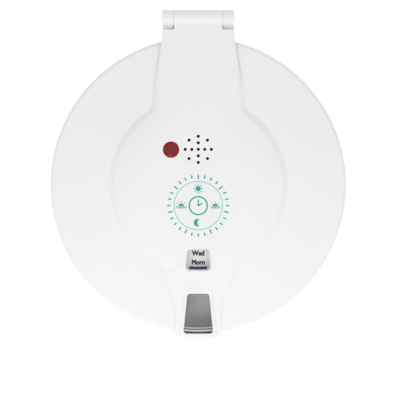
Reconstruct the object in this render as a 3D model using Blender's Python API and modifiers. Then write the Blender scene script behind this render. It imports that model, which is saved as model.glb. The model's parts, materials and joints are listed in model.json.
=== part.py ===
"""Round electronic pill box with a hinged lid and a motor-driven carousel of 28 compartments.

Metres, +Z up. The origin is the middle of the footprint on the table. The carousel turns about
the vertical through case_centre, and every place below is measured from that vertical, with +Y
toward the hinge and -Y toward the nose. Each moving group hangs from an empty on its own axis.
"""

import math

import bmesh
import bpy
from mathutils import Matrix, Vector

MM = 0.001

# Clearances
GAP = 0.3 * MM
RUNNING_GAP = 0.5 * MM
OVERRUN = 2.0 * MM

# Plan of the case
DISC_RADIUS = 95.0 * MM
NOSE_OVERHANG = 3.15 * MM
NOSE_REACH = DISC_RADIUS + NOSE_OVERHANG
HINGE_STEP = 12.0 * MM
HINGE_REACH = DISC_RADIUS + HINGE_STEP
BARREL_RADIUS = 5.3 * MM
CAROUSEL_Y = (NOSE_REACH - HINGE_REACH - BARREL_RADIUS) / 2

# Feet, base shell and deck
FOOT_HEIGHT = 1.2 * MM
FOOT_RADIUS = 6.0 * MM
BASE_LOW = FOOT_HEIGHT + GAP
BASE_FLOOR = 2.2 * MM
BASE_FLOOR_TOP = BASE_LOW + BASE_FLOOR
BASE_WALL = 1.5 * MM
BASE_INSET = 0.6 * MM
BASE_RADIUS = DISC_RADIUS - BASE_INSET
BASE_BORE = BASE_RADIUS - BASE_WALL
BASE_ROUNDING = 9.0 * MM
FOOT_INSET = 18.4 * MM
FOOT_CIRCLE = BASE_RADIUS - FOOT_INSET
DECK_THICKNESS = 2.0 * MM

# Battery bay
CELL_RADIUS = 7.25 * MM
CELL_LENGTH = 50.5 * MM
CELL_NUB_RADIUS = 2.75 * MM
CELL_NUB_LENGTH = 1.4 * MM
CELL_PITCH = 15.2 * MM
CELL_COUNT = 4
BAY_MIDDLE_Y = 35.5 * MM
BAY_END_ROOM = 2.75 * MM
BAY_HALF_X = CELL_LENGTH / 2 + BAY_END_ROOM
BAY_HALF_Y = (CELL_COUNT - 1) * CELL_PITCH / 2 + CELL_RADIUS + 2 * GAP
BAY_WALL = 2.5 * MM
DOOR_THICKNESS = 2.0 * MM
DOOR_LEDGE = 1.0 * MM
CONTACT_THICKNESS = 0.5 * MM
CONTACT_BUMP_RADIUS = 2.5 * MM
CELL_Z = BASE_FLOOR_TOP + GAP + CELL_RADIUS
BAY_CEILING = CELL_Z + CELL_RADIUS + GAP
DECK_LOW = BAY_CEILING + BAY_WALL + GAP
DECK_TOP = DECK_LOW + DECK_THICKNESS

# Turntable and pinion
MODULE = 1.6 * MM
RING_TEETH = 60
PINION_TEETH = 12
GEAR_THICKNESS = 3.0 * MM
GEAR_LOW = DECK_TOP + RUNNING_GAP
GEAR_TOP = GEAR_LOW + GEAR_THICKNESS
RING_PITCH_RADIUS = MODULE * RING_TEETH / 2
PINION_PITCH_RADIUS = MODULE * PINION_TEETH / 2
PINION_DISTANCE = RING_PITCH_RADIUS + PINION_PITCH_RADIUS
PINION_ANGLE = math.radians(225.0)
SHAFT_RADIUS = 2.5 * MM
MOTOR_RADIUS = 14.0 * MM
MOTOR_HEIGHT = 16.0 * MM
MOTOR_SHAFT_OFFSET = 8.0 * MM

# Hub tower and what stands in it
HUB_RADIUS = 36.0 * MM
HUB_WALL = 2.0 * MM
HUB_LEDGE = 2.0 * MM
HUB_FLANGE_RADIUS = 24.0 * MM
HUB_TOP = 43.8 * MM
BOARD_LOW = 36.4 * MM
BOARD_THICKNESS = 1.6 * MM
BOARD_TOP = BOARD_LOW + BOARD_THICKNESS
PANEL_LOW = HUB_TOP + GAP
PANEL_THICKNESS = 2.5 * MM
PANEL_TOP = PANEL_LOW + PANEL_THICKNESS
COLLAR_WALL = 2.0 * MM
COLLAR_BORE = HUB_RADIUS + 0.4 * MM
COLLAR_HEIGHT = 10.0 * MM

# Day trays on the turntable's plate, and the drum with the label
DAYS = 7
DAY_DOSES = 4
COMPARTMENTS = DAYS * DAY_DOSES
PLATE_LOW = GEAR_TOP - GAP / 6
PLATE_THICKNESS = 1.5 * MM
TRAY_LOW = PLATE_LOW + PLATE_THICKNESS + GAP
TRAY_TOP = 47.2 * MM
TRAY_FLOOR = 1.2 * MM
TRAY_WALL = 1.4 * MM
TRAY_MARGIN = 1.0 * MM
TRAY_RADIUS = BASE_BORE - TRAY_MARGIN
TRAY_BORE = COLLAR_BORE + COLLAR_WALL + RUNNING_GAP
LABEL_THICKNESS = 0.3 * MM
RACK_DEPTH = 34.9 * MM
RACK_INNER = TRAY_RADIUS - RACK_DEPTH
LABEL_OUTER = RACK_INNER - RUNNING_GAP
DIVIDER = 1.2 * MM
DAY_WALL = 0.9 * MM

# Lid
LID_LOW = TRAY_TOP + GAP
LID_TOP = 53.2 * MM
LID_WALL = 2.0 * MM
LID_FLAT_RADIUS = 58.0 * MM
LID_SHOULDER_WIDTH = 2.6 * MM
LID_SHOULDER_RADIUS = DISC_RADIUS - LID_SHOULDER_WIDTH
LID_SHOULDER_DROP = 0.8 * MM
FASCIA_LOW = LID_TOP + GAP
FASCIA_THICKNESS = 2.4 * MM
FASCIA_TOP = FASCIA_LOW + FASCIA_THICKNESS
FASCIA_RADIUS = 56.4 * MM
FASCIA_BEVEL = 0.8 * MM
HINGE_DROP = 3.4 * MM
HINGE_Z = FASCIA_TOP - HINGE_DROP
LINER_LOW = TRAY_TOP + RUNNING_GAP
LINER_THICKNESS = 1.5 * MM
LINER_TOP = LINER_LOW + LINER_THICKNESS

# Neck of the keyhole, from the circle to the hinge
NECK_FOOT_HALF = 28.9 * MM
NECK_FOOT_Y = 53.2 * MM
NECK_RIM_HALF = 23.4 * MM
NECK_RIM_INSET = 2.3 * MM
NECK_RIM_Y = DISC_RADIUS - NECK_RIM_INSET
NECK_FILLET = 9.0 * MM
HINGE_HALF = 23.0 * MM
SHOULDER_STEP = 7.1 * MM
SHOULDER_Y = HINGE_REACH - SHOULDER_STEP
KNUCKLE_SPLIT = 15.8 * MM
PIN_RADIUS = 1.5 * MM

# Beak: half widths at shares of its run from start to nose
BEAK_START = 44.0 * MM
BEAK_RUN = NOSE_REACH - BEAK_START
BEAK_HALF_START = 33.9 * MM
BEAK_SHARE_1 = 0.1293
BEAK_HALF_1 = 26.3 * MM
BEAK_SHARE_2 = 0.3730
BEAK_HALF_2 = 20.9 * MM
BEAK_SHARE_3 = 0.5337
BEAK_HALF_3 = 17.3 * MM
BEAK_SHARE_4 = 0.6685
BEAK_HALF_4 = 15.4 * MM
NOSE_HALF = 15.1 * MM
NOSE_CORNER = 4.0 * MM
BEAK_END_DROP = 2.9 * MM

# Dispensing opening and the raised frame round it
SLOT_SHARE = 0.4672
SLOT_NEAR = BEAK_START + SLOT_SHARE * BEAK_RUN
SLOT_MARGIN = 2.55 * MM
SLOT_FAR = NOSE_REACH - SLOT_MARGIN
SLOT_NEAR_HALF = 7.0 * MM
SLOT_FAR_HALF = 9.6 * MM
SLOT_CORNER = 2.0 * MM
FRAME_SHARE = 0.3139
FRAME_NEAR = BEAK_START + FRAME_SHARE * BEAK_RUN
FRAME_NEAR_HALF = 8.7 * MM
FRAME_FAR_HALF = 12.0 * MM
FRAME_HEIGHT = 0.8 * MM
CHUTE_WALL = 1.6 * MM

# Window over the label ring
WINDOW_MARGIN = 1.8 * MM
WINDOW_LENGTH = 13.7 * MM
WINDOW_FAR = FASCIA_RADIUS - WINDOW_MARGIN
WINDOW_NEAR = WINDOW_FAR - WINDOW_LENGTH
WINDOW_NEAR_HALF = 6.95 * MM
WINDOW_FAR_HALF = 8.15 * MM
WINDOW_CORNER = 2.0 * MM
PANE_MARGIN = 1.0 * MM
PANE_THICKNESS = 1.0 * MM

# Alarm lens and speaker grille
LENS_X = -17.4 * MM
LENS_Y = 22.6 * MM
LENS_RADIUS = 5.1 * MM
LENS_RISE = 1.2 * MM
GRILLE_Y = 22.8 * MM
GRILLE_HOLE_RADIUS = 0.9 * MM
GRILLE_OUTER = 8.35 * MM
GRILLE_INNER = 4.15 * MM
GRILLE_OUTER_COUNT = 8
GRILLE_INNER_COUNT = 4
CLOTH_RADIUS = 11.2 * MM
CLOTH_THICKNESS = 1.0 * MM
CLOTH_LEDGE = 1.6 * MM

# Control panel
DISPLAY_HALF_X = 17.0 * MM
DISPLAY_HALF_Y = 8.5 * MM
DISPLAY_Y = 5.0 * MM
DISPLAY_PANE = 1.2 * MM
DISPLAY_LEDGE = 1.5 * MM
KEY_NAMES = ("set_key", "hour_key", "minute_key", "alarm_key")
KEY_RADIUS = 3.9 * MM
KEY_FLANGE = 1.1 * MM
KEY_STEM = 1.6 * MM
KEY_PITCH = 13.0 * MM
KEY_Y = -16.0 * MM
KEY_PROUD = 0.9 * MM
KEY_TRAVEL = 0.6 * MM
LED_RADIUS = 2.5 * MM
BUZZER_RADIUS = 6.0 * MM

# Latch in the nose of the base
NOSE_WALL = 1.2 * MM
LATCH_HALF = 6.0 * MM
LATCH_HEIGHT = 5.0 * MM
LATCH_Z = 39.5 * MM
LATCH_FLANGE = 0.7 * MM
LATCH_MARGIN = 1.5 * MM
LATCH_TRAVEL = 0.9 * MM
LATCH_PROUD = 0.2 * MM
POCKET_HALF = 9.5 * MM
POCKET_DEPTH = 14.0 * MM

# Screws and leads
SCREW_RADIUS = 1.5 * MM
SCREW_HEAD = 2.8 * MM
SCREW_HEAD_HEIGHT = 1.5 * MM
SCREW_BORE = SCREW_RADIUS + GAP
BOSS_RADIUS = 4.0 * MM
BASE_SCREW_INSET = 14.4 * MM
BASE_SCREW_CIRCLE = BASE_RADIUS - BASE_SCREW_INSET
BASE_SCREW_ANGLES = (20.0, 160.0, 200.0, 340.0)
HUB_SCREW_CIRCLE = 28.0 * MM
HUB_SCREW_COUNT = 3
LID_SCREW_RADIUS = 1.1 * MM
LID_SCREW_HEAD = 2.2 * MM
LID_SCREW_HEAD_HEIGHT = 0.9 * MM
LID_SCREW_SHARE = 0.4737
LID_SCREW_CIRCLE = RACK_INNER + LID_SCREW_SHARE * (DISC_RADIUS - RACK_INNER)
LID_SCREW_ANGLES = (50.0, 130.0, 215.0, 325.0)
LID_BOSS_RADIUS = 3.2 * MM
LEAD_RADIUS = 0.9 * MM

# Facets
ROUND_STEPS = 56
SMALL_STEPS = 16
TINY_STEPS = 10
ARC_STEPS = 3


def clear_scene():
    """Remove whatever the file holds."""
    for item in list(bpy.data.objects):
        bpy.data.objects.remove(item, do_unlink=True)


def collection(name):
    """A new collection in the scene."""
    group = bpy.data.collections.new(name)
    bpy.context.scene.collection.children.link(group)
    return group


def material(name, colour, roughness, metallic=0.0, clear=0.0):
    """A Principled material with one colour."""
    surface = bpy.data.materials.new(name)
    surface.use_nodes = True
    shader = surface.node_tree.nodes["Principled BSDF"]
    shader.inputs["Base Color"].default_value = (*colour, 1.0)
    shader.inputs["Roughness"].default_value = roughness
    shader.inputs["Metallic"].default_value = metallic
    shader.inputs["Transmission Weight"].default_value = clear
    surface.diffuse_color = (*colour, 1.0)
    return surface


def axis(name, place):
    """An empty at a place measured from the tray's vertical axis."""
    empty = bpy.data.objects.new(name, None)
    PARTS.objects.link(empty)
    empty.location = place
    if name != "case_centre":
        empty.parent = CASE
    return empty


def stand(item, carrier, x=0.0, y=0.0):
    """Hang an item from a carrier with its own origin at (x, y) from the tray's axis."""
    item.parent = carrier
    offset = Vector((0.0, 0.0, 0.0)) if carrier == CASE else Vector(carrier.location)
    item.location = Vector((x, y, 0.0)) - offset
    return item


def solid(name, data, carrier, surface, x=0.0, y=0.0):
    """A finished or growing piece of the part."""
    item = bpy.data.objects.new(name, data)
    PARTS.objects.link(item)
    data.materials.append(surface)
    return stand(item, carrier, x, y)


def tool(name, data, carrier, x=0.0, y=0.0):
    """A hidden shape that is joined to a piece or cut from it."""
    item = bpy.data.objects.new(name, data)
    TOOLS.objects.link(item)
    item.hide_render = True
    item.display_type = "WIRE"
    return stand(item, carrier, x, y)


def combine(piece, other, operation):
    """One exact Boolean of a piece with a hidden tool."""
    step = piece.modifiers.new(other.name, "BOOLEAN")
    step.object = other
    step.operation = operation
    step.solver = "EXACT"


def cut(piece, other):
    """Take a tool's shape away from a piece."""
    combine(piece, other, "DIFFERENCE")


def join(piece, other):
    """Add a tool's shape to a piece."""
    combine(piece, other, "UNION")


def smooth(data):
    """Round faces smooth, edges sharp."""
    data.shade_smooth()
    data.set_sharp_from_angle(angle=math.radians(35.0))


def turn(item, steps):
    """A Screw modifier that turns an item's profile once about its Z axis."""
    screw = item.modifiers.new("turned", "SCREW")
    screw.steps = steps
    screw.render_steps = steps
    screw.use_merge_vertices = True
    screw.merge_threshold = 0.00001
    screw.use_smooth_shade = True


def profile_mesh(name, points, closed):
    """The edges of a (radius, height) profile in the XZ plane."""
    data = bpy.data.meshes.new(name)
    count = len(points)
    edges = [(index, index + 1) for index in range(count - 1)]
    if closed:
        edges.append((count - 1, 0))
    data.from_pydata([(radius, 0.0, height) for radius, height in points], edges, [])
    return data


def turned_solid(name, points, carrier, surface, x=0.0, y=0.0, closed=False, steps=ROUND_STEPS):
    """A piece turned from a profile that runs down its outer side."""
    item = solid(name, profile_mesh(name, points, closed), carrier, surface, x, y)
    turn(item, steps)
    return item


def turned_tool(name, points, carrier, x=0.0, y=0.0, closed=False, steps=ROUND_STEPS):
    """A hidden tool turned from a profile."""
    item = tool(name, profile_mesh(name, points, closed), carrier, x, y)
    turn(item, steps)
    return item


def round_mesh(name, radius, low, high, along="Z", centre=(0.0, 0.0), sides=SMALL_STEPS):
    """A cylinder from low to high along one axis, with its centre in the other two."""
    shape = bmesh.new()
    bmesh.ops.create_cone(shape, cap_ends=True, segments=sides, radius1=radius, radius2=radius,
                          depth=high - low)
    middle = (low + high) / 2
    if along == "X":
        matrix = Matrix.Translation((middle, *centre)) @ Matrix.Rotation(math.pi / 2, 4, "Y")
    elif along == "Y":
        place = (centre[0], middle, centre[1])
        matrix = Matrix.Translation(place) @ Matrix.Rotation(math.pi / 2, 4, "X")
    else:
        matrix = Matrix.Translation((*centre, middle))
    bmesh.ops.transform(shape, matrix=matrix, verts=shape.verts)
    data = bpy.data.meshes.new(name)
    shape.to_mesh(data)
    shape.free()
    smooth(data)
    return data


def box_mesh(name, x_span, y_span, z_span):
    """A block between three pairs of limits."""
    shape = bmesh.new()
    bmesh.ops.create_cube(shape, size=1.0)
    spans = (x_span, y_span, z_span)
    size = [high - low for low, high in spans]
    middle = [(high + low) / 2 for low, high in spans]
    bmesh.ops.scale(shape, vec=size, verts=shape.verts)
    bmesh.ops.translate(shape, vec=middle, verts=shape.verts)
    data = bpy.data.meshes.new(name)
    shape.to_mesh(data)
    shape.free()
    return data


def plate_mesh(name, outlines, low, high, sideways=False):
    """Flat outlines drawn out from low to high: up, or along X when sideways."""
    curve = bpy.data.curves.new(name, "CURVE")
    curve.dimensions = "2D"
    curve.fill_mode = "BOTH"
    curve.extrude = (high - low) / 2
    for outline in outlines:
        spline = curve.splines.new("POLY")
        spline.points.add(len(outline) - 1)
        for point, (x, y) in zip(spline.points, outline):
            point.co = (x, y, 0.0, 1.0)
        spline.use_cyclic_u = True
    holder = bpy.data.objects.new(name, curve)
    TOOLS.objects.link(holder)
    bpy.context.view_layer.update()
    seen = holder.evaluated_get(bpy.context.evaluated_depsgraph_get())
    data = bpy.data.meshes.new_from_object(seen)
    bpy.data.objects.remove(holder, do_unlink=True)
    data.transform(Matrix.Translation((0.0, 0.0, (low + high) / 2)))
    if sideways:
        data.transform(Matrix(((0, 0, 1, 0), (1, 0, 0, 0), (0, 1, 0, 0), (0, 0, 0, 1))))
    shape = bmesh.new()
    shape.from_mesh(data)
    bmesh.ops.remove_doubles(shape, verts=shape.verts, dist=0.00001)
    bmesh.ops.recalc_face_normals(shape, faces=shape.faces)
    shape.to_mesh(data)
    shape.free()
    data.name = name
    return data


def wire_mesh(name, points, radius):
    """A round lead through a list of points."""
    curve = bpy.data.curves.new(name, "CURVE")
    curve.dimensions = "3D"
    curve.bevel_depth = radius
    curve.bevel_resolution = 2
    curve.use_fill_caps = True
    spline = curve.splines.new("POLY")
    spline.points.add(len(points) - 1)
    for point, place in zip(spline.points, points):
        point.co = (*place, 1.0)
    holder = bpy.data.objects.new(name, curve)
    TOOLS.objects.link(holder)
    bpy.context.view_layer.update()
    seen = holder.evaluated_get(bpy.context.evaluated_depsgraph_get())
    data = bpy.data.meshes.new_from_object(seen)
    bpy.data.objects.remove(holder, do_unlink=True)
    shape = bmesh.new()
    shape.from_mesh(data)
    bmesh.ops.remove_doubles(shape, verts=shape.verts, dist=0.00001)
    bmesh.ops.recalc_face_normals(shape, faces=shape.faces)
    shape.to_mesh(data)
    shape.free()
    data.name = name
    return data


def arc(x, y, radius, start, end, steps=ARC_STEPS):
    """Points on a circle from one angle to another, in radians, both ends included."""
    angles = [start + (end - start) * step / steps for step in range(steps + 1)]
    return [(x + radius * math.cos(angle), y + radius * math.sin(angle)) for angle in angles]


def rounded(corners, radius):
    """An outline with each of its corners rounded to a radius."""
    outline = []
    count = len(corners)
    for index, corner in enumerate(corners):
        here = Vector(corner)
        back = (Vector(corners[index - 1]) - here).normalized()
        ahead = (Vector(corners[(index + 1) % count]) - here).normalized()
        half = back.angle(ahead) / 2
        middle = here + (back + ahead).normalized() * radius / math.sin(half)
        begin = here + back * radius / math.tan(half) - middle
        end = here + ahead * radius / math.tan(half) - middle
        start_angle = math.atan2(begin.y, begin.x)
        sweep = math.atan2(end.y, end.x) - start_angle
        sweep = (sweep + math.pi) % (2 * math.pi) - math.pi
        outline += arc(middle.x, middle.y, radius, start_angle, start_angle + sweep)
    return outline


def mirrored(half):
    """A whole outline from its right half, which runs from the front to the back."""
    return half + [(-x, y) for x, y in reversed(half)]


def around(radius, angles):
    """Places at one radius and at several angles in degrees."""
    return [(radius * math.cos(math.radians(angle)), radius * math.sin(math.radians(angle)))
            for angle in angles]


def keyhole(inset, end_y):
    """Outline of the raised keyhole: a circle that blends into a narrowing neck.

    The fillet between them is a circle that touches the neck's side line and the big circle
    from outside, so its centre lies one fillet radius off the line.
    """
    along = Vector((NECK_RIM_HALF - NECK_FOOT_HALF, NECK_RIM_Y - NECK_FOOT_Y)).normalized()
    across = Vector((along.y, -along.x))
    foot = Vector((NECK_FOOT_HALF, NECK_FOOT_Y))
    fillet = NECK_FILLET + inset
    off = across.dot(foot) + NECK_FILLET
    reach = FASCIA_RADIUS + NECK_FILLET
    centre = across * off + along * math.sqrt(reach ** 2 - off ** 2)
    big = FASCIA_RADIUS - inset
    start = math.atan2(centre.y, centre.x)
    circle = arc(0.0, 0.0, big, -math.pi / 2, start, ROUND_STEPS // 2)
    line_side = math.atan2(-across.y, -across.x) + 2 * math.pi
    bend = arc(centre.x, centre.y, fillet, start + math.pi, line_side)
    half = circle[1:] + bend[1:]
    half.append((NECK_RIM_HALF - inset, NECK_RIM_Y))
    half.append((HINGE_HALF - inset, end_y))
    return mirrored(half)


def beak_half(inset):
    """Right half of the beak's outline, from the nose's front back to its start."""
    front = -(NOSE_REACH - inset)
    side = NOSE_HALF - inset
    corner = arc(side - NOSE_CORNER, front + NOSE_CORNER, NOSE_CORNER, -math.pi / 2, 0.0)
    middles = ((BEAK_HALF_4, BEAK_SHARE_4), (BEAK_HALF_3, BEAK_SHARE_3),
               (BEAK_HALF_2, BEAK_SHARE_2), (BEAK_HALF_1, BEAK_SHARE_1), (BEAK_HALF_START, 0.0))
    return corner + [(half - inset, -BEAK_START - share * BEAK_RUN) for half, share in middles]


def trapezoid(near, far, near_half, far_half, margin, corner):
    """Rounded outline that widens away from the axis, in front of it."""
    corners = [(-far_half - margin, -far - margin), (far_half + margin, -far - margin),
               (near_half + margin, -near + margin), (-near_half - margin, -near + margin)]
    return rounded(corners, corner)


def tooth_outline(teeth, backlash_share, turn_share):
    """Gear outline with straight-sided teeth: root, tip, tip, root for each tooth."""
    pitch_radius = MODULE * teeth / 2
    tip = pitch_radius + 0.9 * MODULE
    root = pitch_radius - 1.15 * MODULE
    pitch = 2 * math.pi / teeth
    root_share = 0.68 - backlash_share
    tip_share = 0.28 - backlash_share
    outline = []
    for index in range(teeth):
        middle = (index + turn_share) * pitch
        for radius, share in ((root, -root_share), (tip, -tip_share),
                              (tip, tip_share), (root, root_share)):
            angle = middle + share * pitch / 2
            outline.append((radius * math.cos(angle), radius * math.sin(angle)))
    return outline


def many_round_mesh(name, radius, low, high, places, sides=TINY_STEPS):
    """Several upright cylinders in one mesh, for one join or cut."""
    shape = bmesh.new()
    for x, y in places:
        matrix = Matrix.Translation((x, y, (low + high) / 2))
        bmesh.ops.create_cone(shape, cap_ends=True, segments=sides, radius1=radius,
                              radius2=radius, depth=high - low, matrix=matrix)
    data = bpy.data.meshes.new(name)
    shape.to_mesh(data)
    shape.free()
    return data


def soften_top(data, level, width):
    """Bevel the outline edges of a flat plate's upper face."""
    shape = bmesh.new()
    shape.from_mesh(data)
    edges = []
    for edge in shape.edges:
        at_top = all(abs(vert.co.z - level) < GAP / 10 for vert in edge.verts)
        if at_top and edge.is_manifold and edge.calc_face_angle() > math.pi / 4:
            edges.append(edge)
    bmesh.ops.bevel(shape, geom=edges, offset=width, segments=2, profile=0.5, affect="EDGES")
    shape.to_mesh(data)
    shape.free()


def smooth_route(places, steps):
    """Points on a smooth curve through a few places, by the Catmull-Rom rule."""
    points = [Vector(place) for place in places]
    padded = [2 * points[0] - points[1]] + points + [2 * points[-1] - points[-2]]
    route = []
    for index in range(len(points) - 1):
        before, start, end, after = padded[index:index + 4]
        for step in range(steps):
            t = step / steps
            route.append(0.5 * (2 * start + (end - before) * t
                                + (2 * before - 5 * start + 4 * end - after) * t ** 2
                                + (3 * start - before - 3 * end + after) * t ** 3))
    route.append(points[-1])
    return route


def slope_tool(name, rise, carrier):
    """Everything above the beak's sloping surface, raised by a given height."""
    run = NOSE_REACH - FASCIA_RADIUS
    fall = BEAK_END_DROP / run
    far = NOSE_REACH + OVERRUN
    near = BEAK_START - OVERRUN
    far_z = FASCIA_TOP - fall * (far - FASCIA_RADIUS) + rise
    near_z = FASCIA_TOP - fall * (near - FASCIA_RADIUS) + rise
    top = HINGE_Z + 2 * BARREL_RADIUS
    side = [(-far, far_z), (-near, near_z), (-near, top), (-far, top)]
    half = BEAK_HALF_START + OVERRUN
    return tool(name, plate_mesh(name, [side], -half, half, sideways=True), carrier)


def lid_profile():
    """Radius and height down the lid's outer side and back along its inner side."""
    height = LID_TOP - LID_SHOULDER_DROP - LID_LOW
    turns = [math.pi / 2 * step / ARC_STEPS for step in range(ARC_STEPS + 1)]
    edge = [(LID_SHOULDER_RADIUS + (DISC_RADIUS - LID_SHOULDER_RADIUS) * math.sin(angle),
             LID_LOW + height * math.cos(angle)) for angle in turns]
    inner_drop = LID_SHOULDER_RADIUS - LID_WALL / 2
    return ([(0.0, LID_TOP), (LID_FLAT_RADIUS, LID_TOP)] + edge
            + [(DISC_RADIUS - LID_WALL, LID_LOW),
               (DISC_RADIUS - LID_WALL - GAP, LINER_TOP + GAP / 2),
               (inner_drop, LINER_TOP + 2 * GAP),
               (LID_FLAT_RADIUS, LID_TOP - LID_WALL),
               (0.0, LID_TOP - LID_WALL)])


def lid_shell():
    """Round lid with the beak, the nose and the framed dispensing opening."""
    shell = turned_solid("lid_shell", lid_profile(), LID_AXIS, WHITE)
    high = HINGE_Z + BARREL_RADIUS
    beak = tool("beak", plate_mesh("beak", [mirrored(beak_half(0.0))], LID_LOW, high), LID_AXIS)
    cut(beak, slope_tool("beak_slope", 0.0, LID_AXIS))
    under = LID_TOP - LID_WALL - GAP / 3
    cut(beak, tool("beak_hollow", round_mesh("beak_hollow", DISC_RADIUS - LID_WALL / 2,
                                             LID_LOW - OVERRUN, under, sides=ROUND_STEPS),
                   LID_AXIS))
    cut(beak, tool("fascia_room", round_mesh("fascia_room", FASCIA_RADIUS + GAP,
                                             LID_LOW - 2 * OVERRUN, high + OVERRUN,
                                             sides=ROUND_STEPS), LID_AXIS))
    join(shell, beak)
    frame_outline = trapezoid(FRAME_NEAR, NOSE_REACH - FRAME_HEIGHT, FRAME_NEAR_HALF,
                              FRAME_FAR_HALF, 0.0, SLOT_CORNER)
    frame = tool("slot_frame", plate_mesh("slot_frame", [frame_outline], LINER_TOP + GAP, high),
                 LID_AXIS)
    cut(frame, slope_tool("frame_slope", FRAME_HEIGHT, LID_AXIS))
    join(shell, frame)
    pad_half = NECK_RIM_HALF - FRAME_HEIGHT
    pad_outline = [(-pad_half, NECK_FOOT_Y), (pad_half, NECK_FOOT_Y),
                   (pad_half, NECK_RIM_Y), (-pad_half, NECK_RIM_Y)]
    pad_top = LID_TOP - GAP / 6
    join(shell, tool("neck_pad", plate_mesh("neck_pad", [pad_outline], under, pad_top), LID_AXIS))
    places = around(LID_SCREW_CIRCLE, LID_SCREW_ANGLES)
    boss_top = LID_TOP - LID_WALL
    join(shell, tool("lid_bosses", many_round_mesh("lid_bosses", LID_BOSS_RADIUS,
                                                   LINER_TOP + GAP, boss_top, places), LID_AXIS))
    cut(shell, tool("lid_boss_bores", many_round_mesh("lid_boss_bores", LID_SCREW_RADIUS + GAP,
                                                      LINER_LOW, boss_top, places), LID_AXIS))
    slot = trapezoid(SLOT_NEAR, SLOT_FAR, SLOT_NEAR_HALF, SLOT_FAR_HALF, 0.0, SLOT_CORNER)
    cut(shell, tool("slot", plate_mesh("slot", [slot], LID_LOW - OVERRUN, high + OVERRUN),
                    LID_AXIS))
    cut_seats(shell)


def cut_seats(shell):
    """Seats in the lid's top for the window pane and the cloth, and the light's way."""
    low = LID_TOP - LID_WALL - OVERRUN
    pane_seat = LID_TOP - PANE_THICKNESS - GAP
    cloth_seat = LID_TOP - CLOTH_THICKNESS - GAP
    through = trapezoid(WINDOW_NEAR, WINDOW_FAR, WINDOW_NEAR_HALF, WINDOW_FAR_HALF, 0.0,
                        WINDOW_CORNER)
    seat = trapezoid(WINDOW_NEAR, WINDOW_FAR, WINDOW_NEAR_HALF, WINDOW_FAR_HALF,
                     PANE_MARGIN + GAP, WINDOW_CORNER + PANE_MARGIN)
    cut(shell, tool("pane_way", plate_mesh("pane_way", [through], low, LID_TOP + OVERRUN),
                    LID_AXIS))
    cut(shell, tool("pane_seat", plate_mesh("pane_seat", [seat], pane_seat, LID_TOP + OVERRUN),
                    LID_AXIS))
    middle = (0.0, GRILLE_Y)
    cut(shell, tool("cloth_way", round_mesh("cloth_way", CLOTH_RADIUS - CLOTH_LEDGE, low,
                                            LID_TOP + OVERRUN, centre=middle), LID_AXIS))
    cut(shell, tool("cloth_seat", round_mesh("cloth_seat", CLOTH_RADIUS + GAP, cloth_seat,
                                             LID_TOP + OVERRUN, centre=middle), LID_AXIS))
    cut(shell, tool("light_way", round_mesh("light_way", LENS_RADIUS - LENS_RISE, low,
                                            LID_TOP + OVERRUN, centre=(LENS_X, LENS_Y)),
                    LID_AXIS))


def lid_fascia():
    """Raised keyhole plate with the window, the grille holes and the middle hinge barrel."""
    data = plate_mesh("lid_fascia", [keyhole(0.0, SHOULDER_Y)], FASCIA_LOW, FASCIA_TOP)
    soften_top(data, FASCIA_TOP, FASCIA_BEVEL)
    fascia = solid("lid_fascia", data, LID_AXIS, WHITE)
    half = KNUCKLE_SPLIT - GAP
    tongue = box_mesh("tongue", (-half, half), (SHOULDER_Y - OVERRUN, HINGE_REACH),
                      (FASCIA_LOW, FASCIA_TOP))
    join(fascia, tool("tongue", tongue, LID_AXIS))
    barrel = round_mesh("barrel", BARREL_RADIUS, -half, half, "X", (HINGE_REACH, HINGE_Z))
    join(fascia, tool("barrel", barrel, LID_AXIS))
    bore = round_mesh("barrel_bore", PIN_RADIUS + GAP, -HINGE_HALF, HINGE_HALF, "X",
                      (HINGE_REACH, HINGE_Z), TINY_STEPS)
    cut(fascia, tool("barrel_bore", bore, LID_AXIS))
    window = trapezoid(WINDOW_NEAR, WINDOW_FAR, WINDOW_NEAR_HALF, WINDOW_FAR_HALF, 0.0,
                       WINDOW_CORNER)
    low = FASCIA_LOW - OVERRUN
    high = FASCIA_TOP + OVERRUN
    cut(fascia, tool("window", plate_mesh("window", [window], low, high), LID_AXIS))
    outer = [360.0 * index / GRILLE_OUTER_COUNT for index in range(GRILLE_OUTER_COUNT)]
    inner = [360.0 * index / GRILLE_INNER_COUNT for index in range(GRILLE_INNER_COUNT)]
    places = around(GRILLE_OUTER, outer) + around(GRILLE_INNER, inner) + [(0.0, 0.0)]
    places = [(x, y + GRILLE_Y) for x, y in places]
    cut(fascia, tool("grille", many_round_mesh("grille", GRILLE_HOLE_RADIUS, low, high, places),
                     LID_AXIS))
    cut(fascia, tool("lens_hole", round_mesh("lens_hole", LENS_RADIUS + GAP, low, high,
                                             centre=(LENS_X, LENS_Y)), LID_AXIS))


def lid_inserts():
    """Window pane, alarm lens and the cloth behind the grille."""
    outline = trapezoid(WINDOW_NEAR, WINDOW_FAR, WINDOW_NEAR_HALF, WINDOW_FAR_HALF,
                        PANE_MARGIN, WINDOW_CORNER + PANE_MARGIN)
    solid("window_pane", plate_mesh("window_pane", [outline], LID_TOP - PANE_THICKNESS, LID_TOP),
          LID_AXIS, CLEAR)
    solid("grille_cloth", round_mesh("grille_cloth", CLOTH_RADIUS, LID_TOP - CLOTH_THICKNESS,
                                     LID_TOP, centre=(0.0, GRILLE_Y)), LID_AXIS, BLACK)
    turns = [math.pi / 2 * step / ARC_STEPS for step in range(ARC_STEPS + 1)]
    dome = [(LENS_RADIUS * math.sin(angle), FASCIA_TOP + LENS_RISE * math.cos(angle))
            for angle in turns]
    turned_solid("alarm_lens", dome + [(LENS_RADIUS, FASCIA_LOW), (0.0, FASCIA_LOW)],
                 LID_AXIS, RED, LENS_X, LENS_Y, steps=SMALL_STEPS)


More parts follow.
